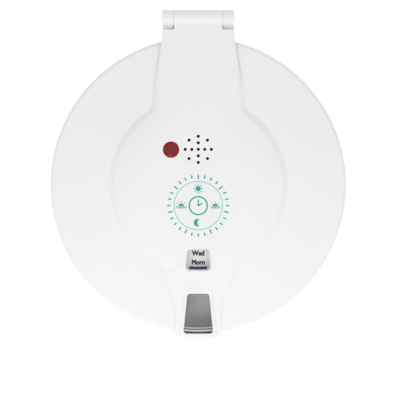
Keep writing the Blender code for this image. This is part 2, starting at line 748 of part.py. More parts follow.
def lid_liner():
    """Ring under the lid that covers the compartments beside the opening."""
    inner = RACK_INNER + RUNNING_GAP
    outer = DISC_RADIUS - LID_WALL - 2 * RUNNING_GAP
    liner = turned_solid("lid_liner", [(outer, LINER_TOP), (outer, LINER_LOW),
                                       (inner, LINER_LOW), (inner, LINER_TOP)],
                         LID_AXIS, LIGHT_GREY, closed=True)
    slot = trapezoid(SLOT_NEAR, SLOT_FAR, SLOT_NEAR_HALF, SLOT_FAR_HALF, 0.0, SLOT_CORNER)
    cut(liner, tool("liner_slot", plate_mesh("liner_slot", [slot], LINER_LOW - OVERRUN,
                                             LINER_TOP + OVERRUN), LID_AXIS))
    places = around(LID_SCREW_CIRCLE, LID_SCREW_ANGLES)
    cut(liner, tool("liner_holes", many_round_mesh("liner_holes", LID_SCREW_RADIUS + GAP,
                                                   LINER_LOW - OVERRUN, LINER_TOP + OVERRUN,
                                                   places), LID_AXIS))
    sink = LINER_LOW + LID_SCREW_HEAD_HEIGHT + GAP
    cut(liner, tool("liner_sinks", many_round_mesh("liner_sinks", LID_SCREW_HEAD + GAP,
                                                   LINER_LOW - OVERRUN, sink, places), LID_AXIS))
    for index, (x, y) in enumerate(places):
        head_top = LINER_LOW + LID_SCREW_HEAD_HEIGHT
        tip = LID_TOP - LID_WALL - GAP
        turned_solid(f"lid_screw_{index + 1}",
                     [(0.0, tip), (LID_SCREW_RADIUS, tip), (LID_SCREW_RADIUS, head_top),
                      (LID_SCREW_HEAD, head_top), (LID_SCREW_HEAD, LINER_LOW), (0.0, LINER_LOW)],
                     LID_AXIS, STEEL, x, y, steps=TINY_STEPS)


def base_shell():
    """Round cup with a nose, hinge knuckles, screw bosses and the battery bay."""
    corner_r = BASE_RADIUS - BASE_ROUNDING
    corner_z = BASE_LOW + BASE_ROUNDING
    inner_arc = arc(corner_r, corner_z, BASE_ROUNDING - BASE_FLOOR, -math.pi / 2, 0.0)
    outer_arc = arc(corner_r, corner_z, BASE_ROUNDING, 0.0, -math.pi / 2)
    profile = ([(0.0, BASE_FLOOR_TOP)] + inner_arc
               + [(BASE_BORE, corner_z + BASE_FLOOR), (BASE_BORE, TRAY_TOP),
                  (BASE_RADIUS, TRAY_TOP)] + outer_arc + [(0.0, BASE_LOW)])
    shell = turned_solid("base_shell", profile, CASE, WHITE)
    add_hinge_tower(shell)
    add_nose(shell)
    add_base_bosses(shell)
    add_battery_bay(shell)


def add_hinge_tower(shell):
    """Block behind the cup that carries the two outer hinge knuckles."""
    front = HINGE_REACH - BARREL_RADIUS + GAP / 2
    back = HINGE_REACH + BARREL_RADIUS
    start = BASE_RADIUS - 2 * OVERRUN
    foot = DECK_LOW
    side = [(start, foot), (BASE_RADIUS, foot), (back, HINGE_Z - 2.4 * BARREL_RADIUS),
            (back, HINGE_Z)]
    side += arc(HINGE_REACH, HINGE_Z, BARREL_RADIUS, 0.0, math.pi, 3 * ARC_STEPS)[1:-1]
    side += [(front, HINGE_Z), (front, TRAY_TOP), (start, TRAY_TOP)]
    tower = tool("hinge_tower", plate_mesh("hinge_tower", [side], -HINGE_HALF, HINGE_HALF,
                                           sideways=True), CASE)
    cut(tower, tool("tower_hollow", round_mesh("tower_hollow", BASE_RADIUS - BASE_WALL / 2,
                                               foot - OVERRUN, TRAY_TOP + OVERRUN,
                                               sides=ROUND_STEPS), CASE))
    web_top = HINGE_Z - BARREL_RADIUS - RUNNING_GAP
    cut(tower, tool("barrel_room", box_mesh("barrel_room", (-KNUCKLE_SPLIT, KNUCKLE_SPLIT),
                                            (DISC_RADIUS, back + OVERRUN),
                                            (web_top, HINGE_Z + 2 * BARREL_RADIUS)), CASE))
    join(shell, tower)
    bore = round_mesh("knuckle_bore", PIN_RADIUS + GAP, -HINGE_HALF - OVERRUN,
                      HINGE_HALF + OVERRUN, "X", (HINGE_REACH, HINGE_Z), TINY_STEPS)
    cut(shell, tool("knuckle_bore", bore, CASE))


def nose_front():
    """How far in front of the axis the nose of the base reaches."""
    return NOSE_REACH - GAP


def add_nose(shell):
    """Nose of the base under the lid's nose, with the latch's pocket and its hole."""
    front = -nose_front()
    side_x = NOSE_HALF - GAP
    back = -(BASE_RADIUS - 2 * BASE_WALL)
    corner = arc(side_x - NOSE_CORNER, front + NOSE_CORNER, NOSE_CORNER, -math.pi / 2, 0.0)
    outline = mirrored(corner + [(side_x, back)])
    low = DECK_TOP
    nose = tool("base_nose", plate_mesh("base_nose", [outline], low, TRAY_TOP), CASE)
    cut(nose, tool("nose_hollow", round_mesh("nose_hollow", BASE_RADIUS - BASE_WALL / 2,
                                             low - OVERRUN, TRAY_TOP + OVERRUN,
                                             sides=ROUND_STEPS), CASE))
    join(shell, nose)
    pocket = tool("pocket", box_mesh("pocket", (-POCKET_HALF, POCKET_HALF),
                                     (front + NOSE_WALL, back),
                                     (TRAY_TOP - POCKET_DEPTH, TRAY_TOP + OVERRUN)), CASE)
    cut(pocket, tool("pocket_rim", round_mesh("pocket_rim", BASE_RADIUS,
                                              TRAY_TOP - 2 * POCKET_DEPTH,
                                              TRAY_TOP + 2 * OVERRUN, sides=ROUND_STEPS), CASE))
    cut(shell, pocket)
    half = LATCH_HALF + GAP
    rise = LATCH_HEIGHT / 2 + GAP
    cut(shell, tool("latch_hole", box_mesh("latch_hole", (-half, half),
                                           (front - OVERRUN, front + NOSE_WALL + GAP),
                                           (LATCH_Z - rise, LATCH_Z + rise)), CASE))


def latch_button():
    """Push button in the nose, with its inner flange and the hook's finger."""
    front = -nose_front()
    inner = front + NOSE_WALL + GAP
    rise = LATCH_HEIGHT / 2
    button = solid("latch_button", box_mesh("latch_button", (-LATCH_HALF, LATCH_HALF),
                                            (front - LATCH_PROUD, inner + LATCH_FLANGE),
                                            (LATCH_Z - rise, LATCH_Z + rise)), LATCH_AXIS, GREY)
    wide = LATCH_HALF + LATCH_MARGIN
    join(button, tool("latch_flange", box_mesh("latch_flange", (-wide, wide),
                                               (inner, inner + LATCH_FLANGE),
                                               (LATCH_Z - rise - LATCH_MARGIN,
                                                LATCH_Z + rise + LATCH_MARGIN)), LATCH_AXIS))
    join(button, tool("latch_finger", box_mesh("latch_finger", (-LATCH_HALF / 2, LATCH_HALF / 2),
                                               (inner, inner + LATCH_FLANGE),
                                               (LATCH_Z, TRAY_TOP - GAP)), LATCH_AXIS))


def add_base_bosses(shell):
    """Posts for the case screws, with their bores and the sinks of the heads."""
    places = around(BASE_SCREW_CIRCLE, BASE_SCREW_ANGLES)
    top = DECK_LOW - GAP
    join(shell, tool("base_bosses", many_round_mesh("base_bosses", BOSS_RADIUS,
                                                    BASE_FLOOR_TOP - GAP, top, places), CASE))
    cut(shell, tool("base_bores", many_round_mesh("base_bores", SCREW_BORE, BASE_LOW - OVERRUN,
                                                  top + OVERRUN, places), CASE))
    sink = BASE_LOW + SCREW_HEAD_HEIGHT + 2 * GAP
    cut(shell, tool("base_sinks", many_round_mesh("base_sinks", SCREW_HEAD + GAP,
                                                  BASE_LOW - OVERRUN, sink, places), CASE))


def add_battery_bay(shell):
    """Well for the cells, open below, with the door's seat round its mouth."""
    half_x = BAY_HALF_X + BAY_WALL
    half_y = BAY_HALF_Y + BAY_WALL
    join(shell, tool("bay_block", box_mesh("bay_block", (-half_x, half_x),
                                           (BAY_MIDDLE_Y - half_y, BAY_MIDDLE_Y + half_y),
                                           (BASE_FLOOR_TOP - GAP, BAY_CEILING + BAY_WALL)), CASE))
    cut(shell, tool("bay_room", box_mesh("bay_room", (-BAY_HALF_X, BAY_HALF_X),
                                         (BAY_MIDDLE_Y - BAY_HALF_Y, BAY_MIDDLE_Y + BAY_HALF_Y),
                                         (BASE_LOW - OVERRUN, BAY_CEILING)), CASE))
    seat_x = BAY_HALF_X + DOOR_LEDGE + GAP
    seat_y = BAY_HALF_Y + DOOR_LEDGE + GAP
    cut(shell, tool("door_seat", box_mesh("door_seat", (-seat_x, seat_x),
                                          (BAY_MIDDLE_Y - seat_y, BAY_MIDDLE_Y + seat_y),
                                          (BASE_LOW - OVERRUN, BASE_LOW + DOOR_THICKNESS + GAP)),
                    CASE))


def battery_door():
    """Flat cover under the cells; the end on its hooks is round, so that it can swing down."""
    half_x = BAY_HALF_X + DOOR_LEDGE
    half_y = BAY_HALF_Y + DOOR_LEDGE
    radius = DOOR_THICKNESS / 2
    middle_z = BASE_LOW + radius
    end = BAY_MIDDLE_Y + half_y - radius
    start = BAY_MIDDLE_Y - half_y
    side = [(start, middle_z - radius)]
    side += arc(end, middle_z, radius, -math.pi / 2, math.pi / 2, 2 * ARC_STEPS)
    side += [(start, middle_z + radius)]
    solid("battery_door", plate_mesh("battery_door", [side], -half_x, half_x, sideways=True),
          DOOR_AXIS, WHITE)


def feet_and_case_screws():
    """Four rubber feet and the four screws that hold the deck to the base."""
    for index, (x, y) in enumerate(around(FOOT_CIRCLE, (45.0, 135.0, 225.0, 315.0))):
        solid(f"foot_{index + 1}", round_mesh(f"foot_{index + 1}", FOOT_RADIUS, 0.0,
                                              FOOT_HEIGHT), CASE, RUBBER, x, y)
    low = BASE_LOW + GAP
    head_top = low + SCREW_HEAD_HEIGHT
    tip = DECK_TOP - GAP
    for index, (x, y) in enumerate(around(BASE_SCREW_CIRCLE, BASE_SCREW_ANGLES)):
        turned_solid(f"base_screw_{index + 1}",
                     [(0.0, tip), (SCREW_RADIUS, tip), (SCREW_RADIUS, head_top),
                      (SCREW_HEAD, head_top), (SCREW_HEAD, low), (0.0, low)],
                     CASE, STEEL, x, y, steps=TINY_STEPS)


def hinge_pin():
    """Steel pin through the three hinge barrels."""
    half = HINGE_HALF - GAP
    solid("hinge_pin", round_mesh("hinge_pin", PIN_RADIUS, -half, half, "X",
                                  (HINGE_REACH, HINGE_Z), TINY_STEPS), CASE, STEEL)


def battery_cells():
    """Four round cells side by side, every second one turned about, and their contacts."""
    body = CELL_LENGTH - CELL_NUB_LENGTH
    for index in range(CELL_COUNT):
        y = BAY_MIDDLE_Y + (index - (CELL_COUNT - 1) / 2) * CELL_PITCH
        way = 1 if index % 2 else -1
        tail = -way * CELL_LENGTH / 2
        face = tail + way * body
        tip = tail + way * CELL_LENGTH
        cell = solid(f"battery_cell_{index + 1}",
                     round_mesh("cell", CELL_RADIUS, min(tail, face), max(tail, face), "X",
                                (y, CELL_Z)), CASE, CELL_WRAP)
        nub = round_mesh("nub", CELL_NUB_RADIUS, min(face - way * GAP, tip),
                         max(face - way * GAP, tip), "X", (y, CELL_Z), TINY_STEPS)
        join(cell, tool(f"nub_{index + 1}", nub, CASE))
    for name, way in (("contact_plate_left", -1), ("contact_plate_right", 1)):
        contact_plate(name, way)


def contact_plate(name, way):
    """Sprung metal strip on an end wall of the bay, with a bump for each cell."""
    outer = way * (BAY_HALF_X - GAP)
    inner = outer - way * CONTACT_THICKNESS
    touch = way * (CELL_LENGTH / 2 + GAP)
    reach = BAY_HALF_Y - 2 * GAP
    plate = solid(name, box_mesh(name, (min(outer, inner), max(outer, inner)),
                                 (BAY_MIDDLE_Y - reach, BAY_MIDDLE_Y + reach),
                                 (CELL_Z - CELL_RADIUS + GAP, CELL_Z + CELL_RADIUS - GAP)),
                  CASE, BRASS)
    for index in range(CELL_COUNT):
        y = BAY_MIDDLE_Y + (index - (CELL_COUNT - 1) / 2) * CELL_PITCH
        bump = round_mesh("bump", CONTACT_BUMP_RADIUS, min(touch, outer - way * GAP / 2),
                          max(touch, outer - way * GAP / 2), "X", (y, CELL_Z), TINY_STEPS)
        join(plate, tool(f"{name}_bump_{index + 1}", bump, CASE))


def base_deck():
    """Flat floor over the motor and the cells that carries the hub and the turntable."""
    outer = BASE_BORE - GAP
    inner = HUB_FLANGE_RADIUS / 2
    deck = turned_solid("base_deck", [(outer, DECK_TOP), (outer, DECK_LOW),
                                      (inner, DECK_LOW), (inner, DECK_TOP)],
                        CASE, LIGHT_GREY, closed=True)
    low = DECK_LOW - OVERRUN
    high = DECK_TOP + OVERRUN
    places = around(BASE_SCREW_CIRCLE, BASE_SCREW_ANGLES) + hub_screw_places()
    cut(deck, tool("deck_holes", many_round_mesh("deck_holes", SCREW_BORE, low, high, places),
                   CASE))
    cut(deck, tool("shaft_hole", round_mesh("shaft_hole", SHAFT_RADIUS + 2 * GAP, low, high,
                                            centre=pinion_place()), CASE))


def hub_screw_places():
    """Where the hub's screws stand round the axis."""
    angles = [90.0 + 360.0 * index / HUB_SCREW_COUNT for index in range(HUB_SCREW_COUNT)]
    return around(HUB_SCREW_CIRCLE, angles)


def pinion_place():
    """Where the pinion stands, so that its pitch circle touches the ring's."""
    return (PINION_DISTANCE * math.cos(PINION_ANGLE), PINION_DISTANCE * math.sin(PINION_ANGLE))


def hub_tower():
    """Fixed tube in the middle that guides the turntable and carries the electronics."""
    low = DECK_TOP + GAP
    inner = HUB_RADIUS - HUB_WALL
    ledge = inner - HUB_LEDGE
    flange_top = low + HUB_WALL
    ledge_top = BOARD_LOW - GAP
    hub = turned_solid("hub_tower", [(HUB_RADIUS, HUB_TOP), (HUB_RADIUS, low),
                                     (HUB_FLANGE_RADIUS, low), (HUB_FLANGE_RADIUS, flange_top),
                                     (ledge, flange_top), (ledge, ledge_top),
                                     (inner, ledge_top), (inner, HUB_TOP)],
                       CASE, WHITE, closed=True)
    cut(hub, tool("hub_holes", many_round_mesh("hub_holes", SCREW_BORE, low - OVERRUN,
                                               flange_top + OVERRUN, hub_screw_places()), CASE))
    head_low = flange_top + GAP
    head_top = head_low + SCREW_HEAD_HEIGHT
    tip = DECK_LOW + GAP
    for index, (x, y) in enumerate(hub_screw_places()):
        turned_solid(f"hub_screw_{index + 1}",
                     [(0.0, head_top), (SCREW_HEAD, head_top), (SCREW_HEAD, head_low),
                      (SCREW_RADIUS, head_low), (SCREW_RADIUS, tip), (0.0, tip)],
                     CASE, STEEL, x, y, steps=TINY_STEPS)


def key_places():
    """Where the keys stand, in one row."""
    middle = (len(KEY_NAMES) - 1) / 2
    return [((index - middle) * KEY_PITCH, KEY_Y) for index in range(len(KEY_NAMES))]


def control_panel():
    """Cover of the hub with the display's window seat, key holes and sound slots."""
    panel = turned_solid("control_panel", [(0.0, PANEL_TOP), (HUB_RADIUS, PANEL_TOP),
                                           (HUB_RADIUS, PANEL_LOW), (0.0, PANEL_LOW)],
                         CASE, LIGHT_GREY)
    low = PANEL_LOW - OVERRUN
    high = PANEL_TOP + OVERRUN
    cut(panel, tool("key_holes", many_round_mesh("key_holes", KEY_RADIUS + GAP, low, high,
                                                 key_places(), SMALL_STEPS), CASE))
    cut(panel, tool("led_hole", round_mesh("led_hole", LED_RADIUS + GAP, low, high,
                                           centre=(LENS_X, LENS_Y), sides=TINY_STEPS), CASE))
    sound = around(BUZZER_RADIUS / 2, (0.0, 72.0, 144.0, 216.0, 288.0)) + [(0.0, 0.0)]
    sound = [(x, y + GRILLE_Y) for x, y in sound]
    cut(panel, tool("sound_holes", many_round_mesh("sound_holes", GRILLE_HOLE_RADIUS, low, high,
                                                   sound), CASE))
    wide = DISPLAY_HALF_X + GAP
    tall = DISPLAY_HALF_Y + GAP
    seat_low = PANEL_TOP - DISPLAY_PANE - GAP
    cut(panel, tool("display_seat", box_mesh("display_seat", (-wide, wide),
                                             (DISPLAY_Y - tall, DISPLAY_Y + tall),
                                             (seat_low, high)), CASE))
    wide -= DISPLAY_LEDGE
    tall -= DISPLAY_LEDGE
    cut(panel, tool("display_way", box_mesh("display_way", (-wide, wide),
                                            (DISPLAY_Y - tall, DISPLAY_Y + tall),
                                            (low, high)), CASE))


def keys():
    """Four sprung keys: a cap in the panel, a flange under it and a stem over the board."""
    for name, (x, y) in zip(KEY_NAMES, key_places()):
        top = PANEL_TOP + KEY_PROUD
        flange_top = PANEL_LOW - GAP
        flange_low = flange_top - KEY_FLANGE
        stem_low = BOARD_TOP + GAP + KEY_TRAVEL
        flange = KEY_RADIUS + KEY_FLANGE
        turned_solid(name, [(0.0, top), (KEY_RADIUS - GAP, top), (KEY_RADIUS, top - GAP),
                            (KEY_RADIUS, flange_top), (flange, flange_top),
                            (flange, flange_low), (KEY_STEM, flange_low),
                            (KEY_STEM, stem_low), (0.0, stem_low)],
                     KEY_AXES[name], RUBBER, x, y, steps=SMALL_STEPS)


def electronics():
    """Board, display, light, buzzer, tilt switch and the sensor that counts compartments."""
    board_radius = HUB_RADIUS - HUB_WALL - GAP
    solid("main_board", round_mesh("main_board", board_radius, BOARD_LOW, BOARD_TOP,
                                   sides=2 * SMALL_STEPS), CASE, BOARD)
    stand_z = BOARD_TOP + GAP
    under_panel = PANEL_LOW - GAP
    glass = DISPLAY_LEDGE / 2
    solid("display_module", box_mesh("display_module",
                                     (-DISPLAY_HALF_X + glass, DISPLAY_HALF_X - glass),
                                     (DISPLAY_Y - DISPLAY_HALF_Y + glass,
                                      DISPLAY_Y + DISPLAY_HALF_Y - glass),
                                     (stand_z, under_panel)), CASE, BLACK)
    solid("display_window", box_mesh("display_window", (-DISPLAY_HALF_X, DISPLAY_HALF_X),
                                     (DISPLAY_Y - DISPLAY_HALF_Y, DISPLAY_Y + DISPLAY_HALF_Y),
                                     (PANEL_TOP - DISPLAY_PANE, PANEL_TOP)), CASE, CLEAR)
    led_base = PANEL_TOP - LED_RADIUS
    turns = [math.pi / 2 * step / ARC_STEPS for step in range(ARC_STEPS + 1)]
    dome = [(LED_RADIUS * math.sin(angle), led_base + LED_RADIUS * math.cos(angle))
            for angle in turns]
    turned_solid("alarm_led", dome + [(LED_RADIUS, stand_z), (0.0, stand_z)], CASE, RED,
                 LENS_X, LENS_Y, steps=TINY_STEPS)
    solid("buzzer", round_mesh("buzzer", BUZZER_RADIUS, stand_z, under_panel,
                               centre=(0.0, GRILLE_Y)), CASE, BLACK)
    side = BUZZER_RADIUS
    near = GRILLE_Y - side
    solid("tilt_switch", box_mesh("tilt_switch", (2 * side, 3 * side), (near, near + side),
                                  (stand_z, stand_z + side * 2 / 3)), CASE, GREY)
    reach = RING_PITCH_RADIUS + 4 * MODULE
    solid("position_sensor", box_mesh("position_sensor", (-side / 2, side / 2),
                                      (-reach - side, -reach),
                                      (DECK_TOP + GAP, GEAR_TOP - GAP)), CASE, BLACK)


def gear_motor():
    """Geared motor hung under the deck, its shaft, and the pinion on it."""
    top = DECK_LOW - GAP
    low = top - MOTOR_HEIGHT
    share = (PINION_DISTANCE - MOTOR_SHAFT_OFFSET) / PINION_DISTANCE
    x, y = pinion_place()
    motor = solid("gear_motor", round_mesh("gear_motor", MOTOR_RADIUS, low, top,
                                           centre=(x * share, y * share),
                                           sides=2 * SMALL_STEPS), CASE, STEEL)
    bore_low = low + MOTOR_SHAFT_OFFSET
    cut(motor, tool("motor_bore", round_mesh("motor_bore", SHAFT_RADIUS + GAP, bore_low,
                                             top + OVERRUN, centre=(x, y)), CASE))
    shaft_top = GEAR_TOP - GAP
    solid("motor_shaft", round_mesh("motor_shaft", SHAFT_RADIUS, bore_low + GAP, shaft_top),
          PINION_AXIS, STEEL, x, y)
    outline = tooth_outline(PINION_TEETH, 0.04, 0.5)
    hole = arc(0.0, 0.0, SHAFT_RADIUS + GAP, 0.0, 2 * math.pi, SMALL_STEPS)[:-1]
    solid("motor_pinion", plate_mesh("motor_pinion", [outline, hole], GEAR_LOW, shaft_top),
          PINION_AXIS, BRASS, x, y)


def turntable():
    """Gear ring that the motor turns, with the trays' plate and a collar that runs on the hub."""
    outline = tooth_outline(RING_TEETH, 0.04, 0.0)
    hole_radius = COLLAR_BORE + COLLAR_WALL / 2
    hole = arc(0.0, 0.0, hole_radius, 0.0, 2 * math.pi, ROUND_STEPS)[:-1]
    table = solid("turntable", plate_mesh("turntable", [outline, hole], GEAR_LOW, GEAR_TOP),
                  CAROUSEL_AXIS, LIGHT_GREY)
    outer = COLLAR_BORE + COLLAR_WALL
    top = GEAR_TOP + COLLAR_HEIGHT
    low = GEAR_LOW + GEAR_THICKNESS / 3
    plate_top = PLATE_LOW + PLATE_THICKNESS
    join(table, turned_tool("plate_and_collar",
                            [(outer, top), (outer, plate_top), (TRAY_RADIUS, plate_top),
                             (TRAY_RADIUS, PLATE_LOW), (outer, PLATE_LOW), (outer, low),
                             (COLLAR_BORE, low), (COLLAR_BORE, top)],
                            CAROUSEL_AXIS, closed=True))


def sector(inner, outer, start, end, start_wall, end_wall, steps):
    """Ring sector between two rays, each side moved in parallel by half a wall or a whole one."""
    outline = []
    for radius, ahead in ((inner, True), (outer, False)):
        first = start + math.asin(start_wall / radius)
        last = end - math.asin(end_wall / radius)
        if ahead:
            outline += arc(0.0, 0.0, radius, first, last, steps)
        else:
            outline += arc(0.0, 0.0, radius, last, first, steps)
    return outline


def day_tray(day):
    """Lift-out tray with the four compartments of one day; the first lies under the opening."""
    pitch = 2 * math.pi / COMPARTMENTS
    start = -math.pi / 2 - pitch / 2 + day * DAY_DOSES * pitch
    outline = sector(RACK_INNER, TRAY_RADIUS, start, start + DAY_DOSES * pitch, GAP / 2,
                     GAP / 2, 2 * DAY_DOSES)
    name = f"day_tray_{day + 1}"
    tray = solid(name, plate_mesh(name, [outline], TRAY_LOW, TRAY_TOP), CAROUSEL_AXIS, WHITE)
    end_wall = GAP / 2 + DAY_WALL
    pockets = []
    for dose in range(DAY_DOSES):
        first_wall = DIVIDER / 2 if dose else end_wall
        last_wall = DIVIDER / 2 if dose < DAY_DOSES - 1 else end_wall
        pockets.append(sector(RACK_INNER + TRAY_WALL, TRAY_RADIUS - TRAY_WALL,
                              start + dose * pitch, start + (dose + 1) * pitch,
                              first_wall, last_wall, 2))
    cut(tray, tool("pockets", plate_mesh("pockets", pockets, TRAY_LOW + TRAY_FLOOR,
                                         TRAY_TOP + OVERRUN), CAROUSEL_AXIS))


def label_drum():
    """Drum that stands on the turntable inside the trays, and the label on its shelf."""
    shelf = TRAY_TOP - GAP - LABEL_THICKNESS
    tube = TRAY_BORE + TRAY_WALL
    rim = RACK_INNER - GAP
    turned_solid("label_drum", [(rim, shelf), (rim, shelf - TRAY_WALL),
                                (tube, shelf - TRAY_WALL), (tube, TRAY_LOW),
                                (TRAY_BORE, TRAY_LOW), (TRAY_BORE, shelf)],
                 CAROUSEL_AXIS, WHITE, closed=True)
    low = shelf + GAP
    high = low + LABEL_THICKNESS
    inner = TRAY_BORE + RUNNING_GAP
    turned_solid("label_ring", [(LABEL_OUTER, high), (LABEL_OUTER, low), (inner, low),
                                (inner, high)], CAROUSEL_AXIS, PAPER, closed=True)


def leads():
    """Leads of the cells and of the motor, up through the deck to the board."""
    end = BOARD_LOW - GAP
    bay_front = BAY_MIDDLE_Y - BAY_HALF_Y - BAY_WALL - GAP
    column_x = HUB_FLANGE_RADIUS / 6
    column_y = -HUB_FLANGE_RADIUS / 4
    battery = [(-column_x, bay_front, CELL_Z), (-column_x, bay_front / 2 + column_y / 2, CELL_Z),
               (-column_x, column_y, DECK_LOW - GAP), (-column_x, column_y, DECK_TOP),
               (-column_x, column_y, end)]
    solid("battery_lead", wire_mesh("battery_lead", smooth_route(battery, ARC_STEPS),
                                    LEAD_RADIUS), CASE, RED)
    reach = PINION_DISTANCE - MOTOR_SHAFT_OFFSET - MOTOR_RADIUS - GAP
    start_x = reach * math.cos(PINION_ANGLE)
    start_y = reach * math.sin(PINION_ANGLE)
    motor = [(start_x, start_y, CELL_Z), (start_x * 0.6, start_y * 0.6, CELL_Z),
             (0.0, column_y - LEAD_RADIUS, CELL_Z), (column_x, column_y, DECK_LOW - GAP),
             (column_x, column_y, DECK_TOP), (column_x, column_y, end)]
    solid("motor_lead", wire_mesh("motor_lead", smooth_route(motor, ARC_STEPS), LEAD_RADIUS),
          CASE, BLACK)


clear_scene()
PARTS = collection("electronic_pill_box")
TOOLS = collection("cutters")

WHITE = material("white_abs", (0.86, 0.86, 0.87), 0.38)
LIGHT_GREY = material("light_grey_abs", (0.70, 0.70, 0.71), 0.45)
GREY = material("grey_abs", (0.35, 0.36, 0.38), 0.45)
CLEAR = material("clear_polycarbonate", (0.9, 0.92, 0.93), 0.05, clear=0.8)
RED = material("red_acrylic", (0.28, 0.02, 0.02), 0.1)
BLACK = material("black_plastic", (0.02, 0.02, 0.02), 0.5)
RUBBER = material("dark_rubber", (0.05, 0.05, 0.055), 0.7)
STEEL = material("steel", (0.55, 0.55, 0.56), 0.3, metallic=1.0)
BRASS = material("brass", (0.55, 0.42, 0.18), 0.35, metallic=1.0)
BOARD = material("board_green", (0.01, 0.12, 0.05), 0.4)
CELL_WRAP = material("cell_wrap", (0.04, 0.09, 0.2), 0.35)
PAPER = material("label_paper", (0.75, 0.76, 0.79), 0.7)

CASE = axis("case_centre", (0.0, CAROUSEL_Y, 0.0))
LID_AXIS = axis("lid_hinge_axis", (0.0, HINGE_REACH, HINGE_Z))
CAROUSEL_AXIS = axis("carousel_axis", (0.0, 0.0, 0.0))
PINION_AXIS = axis("pinion_axis", (*pinion_place(), 0.0))
LATCH_AXIS = axis("latch_axis", (0.0, -nose_front(), LATCH_Z))
DOOR_AXIS = axis("door_axis", (0.0, BAY_MIDDLE_Y + BAY_HALF_Y + DOOR_LEDGE - DOOR_THICKNESS / 2,
                               BASE_LOW + DOOR_THICKNESS / 2))
KEY_AXES = {name: axis(f"{name}_axis", (x, y, PANEL_TOP))
            for name, (x, y) in zip(KEY_NAMES, key_places())}

lid_shell()
lid_fascia()
lid_inserts()
lid_liner()
base_shell()
latch_button()
battery_door()
feet_and_case_screws()
hinge_pin()
battery_cells()
base_deck()
hub_tower()
control_panel()
keys()
electronics()
gear_motor()
turntable()
label_drum()
for day in range(DAYS):
    day_tray(day)
leads()
bpy.context.view_layer.update()
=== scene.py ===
"""Looks of a round electronic pill box with a hinged lid and a turning tray of 28 compartments."""
import json
import math

import bmesh
import bpy
import numpy as np
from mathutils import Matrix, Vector
from mathutils.geometry import delaunay_2d_cdt

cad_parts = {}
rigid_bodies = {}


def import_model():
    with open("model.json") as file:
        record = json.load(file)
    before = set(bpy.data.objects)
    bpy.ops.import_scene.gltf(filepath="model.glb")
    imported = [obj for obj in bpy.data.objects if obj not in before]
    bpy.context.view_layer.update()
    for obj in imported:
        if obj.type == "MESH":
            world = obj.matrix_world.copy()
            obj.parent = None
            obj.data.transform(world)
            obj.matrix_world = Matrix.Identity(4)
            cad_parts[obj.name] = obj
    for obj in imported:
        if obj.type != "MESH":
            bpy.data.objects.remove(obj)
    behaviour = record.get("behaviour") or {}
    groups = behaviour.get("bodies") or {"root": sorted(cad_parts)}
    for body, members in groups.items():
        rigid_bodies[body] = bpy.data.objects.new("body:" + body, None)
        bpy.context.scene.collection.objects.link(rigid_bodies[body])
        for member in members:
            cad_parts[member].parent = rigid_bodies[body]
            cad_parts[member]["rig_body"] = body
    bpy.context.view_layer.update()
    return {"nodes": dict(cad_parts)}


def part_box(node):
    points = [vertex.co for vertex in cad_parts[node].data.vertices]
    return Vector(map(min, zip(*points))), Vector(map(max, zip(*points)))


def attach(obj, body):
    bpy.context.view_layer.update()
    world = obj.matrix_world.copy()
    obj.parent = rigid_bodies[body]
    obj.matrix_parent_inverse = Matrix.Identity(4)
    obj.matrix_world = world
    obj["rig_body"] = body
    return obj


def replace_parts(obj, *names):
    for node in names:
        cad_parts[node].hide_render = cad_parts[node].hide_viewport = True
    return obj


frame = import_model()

# Everything below is in millimetres from the carousel's vertical axis, +Y toward the hinge
MM = 0.001
drum_low, drum_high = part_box("label_drum")
AXIS_Y = (drum_low[1] + drum_high[1]) / 2 / MM

# Plan of the lid; a tapering outline is (near, far, near half width, far half width)
DISC_R = 95.0
FASCIA_R = 56.4
MIDDLE_R = 55.0  # the lid's flat middle, hidden by the fascia
WALL_FROM = 94.0  # beyond it undersides meet the lid's outer wall
SLOT_WALL_FROM = 93.0
NOSE_REACH = 98.15
HINGE_REACH = 107.0
BARREL_R = 5.3
HINGE_HALF = 23.0
KNUCKLE_SPLIT = 15.8
SHOULDER_Y = 99.6
KNUCKLE_FRONT = 100.4
NECK_FOOT = (28.9, 53.2)
NECK_RIM = (23.4, 92.7)
NECK_FILLET = 9.0
BEAK_POINTS = ((15.4, 80.2), (17.3, 72.9), (20.9, 64.2), (26.3, 51.0), (32.4, 46.2))
BEAK_TUCK = 1.5
NOSE_HALF = 15.1
NOSE_CORNER = 4.0
SLOT = (69.6, 95.1, 6.9, 9.5)
FRAME = (61.0, 97.2, 8.7, 12.0)
WINDOW = (40.9, 54.6, 6.95, 8.15)
WINDOW_MASK = (41.4, 54.3, 5.7, 6.1)
LENS = (-17.4, 22.6)
LENS_R = 5.1
GRILLE_Y = 22.8
GRILLE_RINGS = ((8.35, 8), (4.15, 4), (0.0, 1))
GRILLE_HOLE_R = 1.0
SOUND_WAY_R = 9.6
LIGHT_WAY_R = 3.9
PRINT_Y = -13.2
PRINT_R = 19.9
SIGN_REACH = 10.9

# Heights over the table
LID_LOW = 47.5
LID_SHOULDER = (92.4, 52.4)
LID_FLAT = (58.0, 53.2)
LID_WALL = 2.0
FASCIA_TOP = 55.9
HOLE_LOW = 53.2  # foot of the holes in the fascia
BEAK_STEP = 0.5
BEAK_DROP = 2.4
BEAK_FADE = (23.0, 33.0)
FRAME_RISE = 0.8
SLOPE_IN = 3.0
SLOPE_OUT = 1.0
SLOPE_RINGS = 11
FULL_STEP = 2.2
SLOPE_EASE = 0.4
SLOPE_START = 1.2  # how far inside the fascia's rim slopes begin
SLOPE_END = (86.5, 91.5)
EDGE_ROLL = 0.8  # quarter circle on the edges of raised pieces
HINGE_Z = 52.5
LINER = (47.7, 49.2)
TRAY_TOP = 47.2
TRAY_LOW = 28.85
TRAY_FLOOR = 1.2
PANEL = (44.1, 46.6)
PRINT_LIFT = 0.03

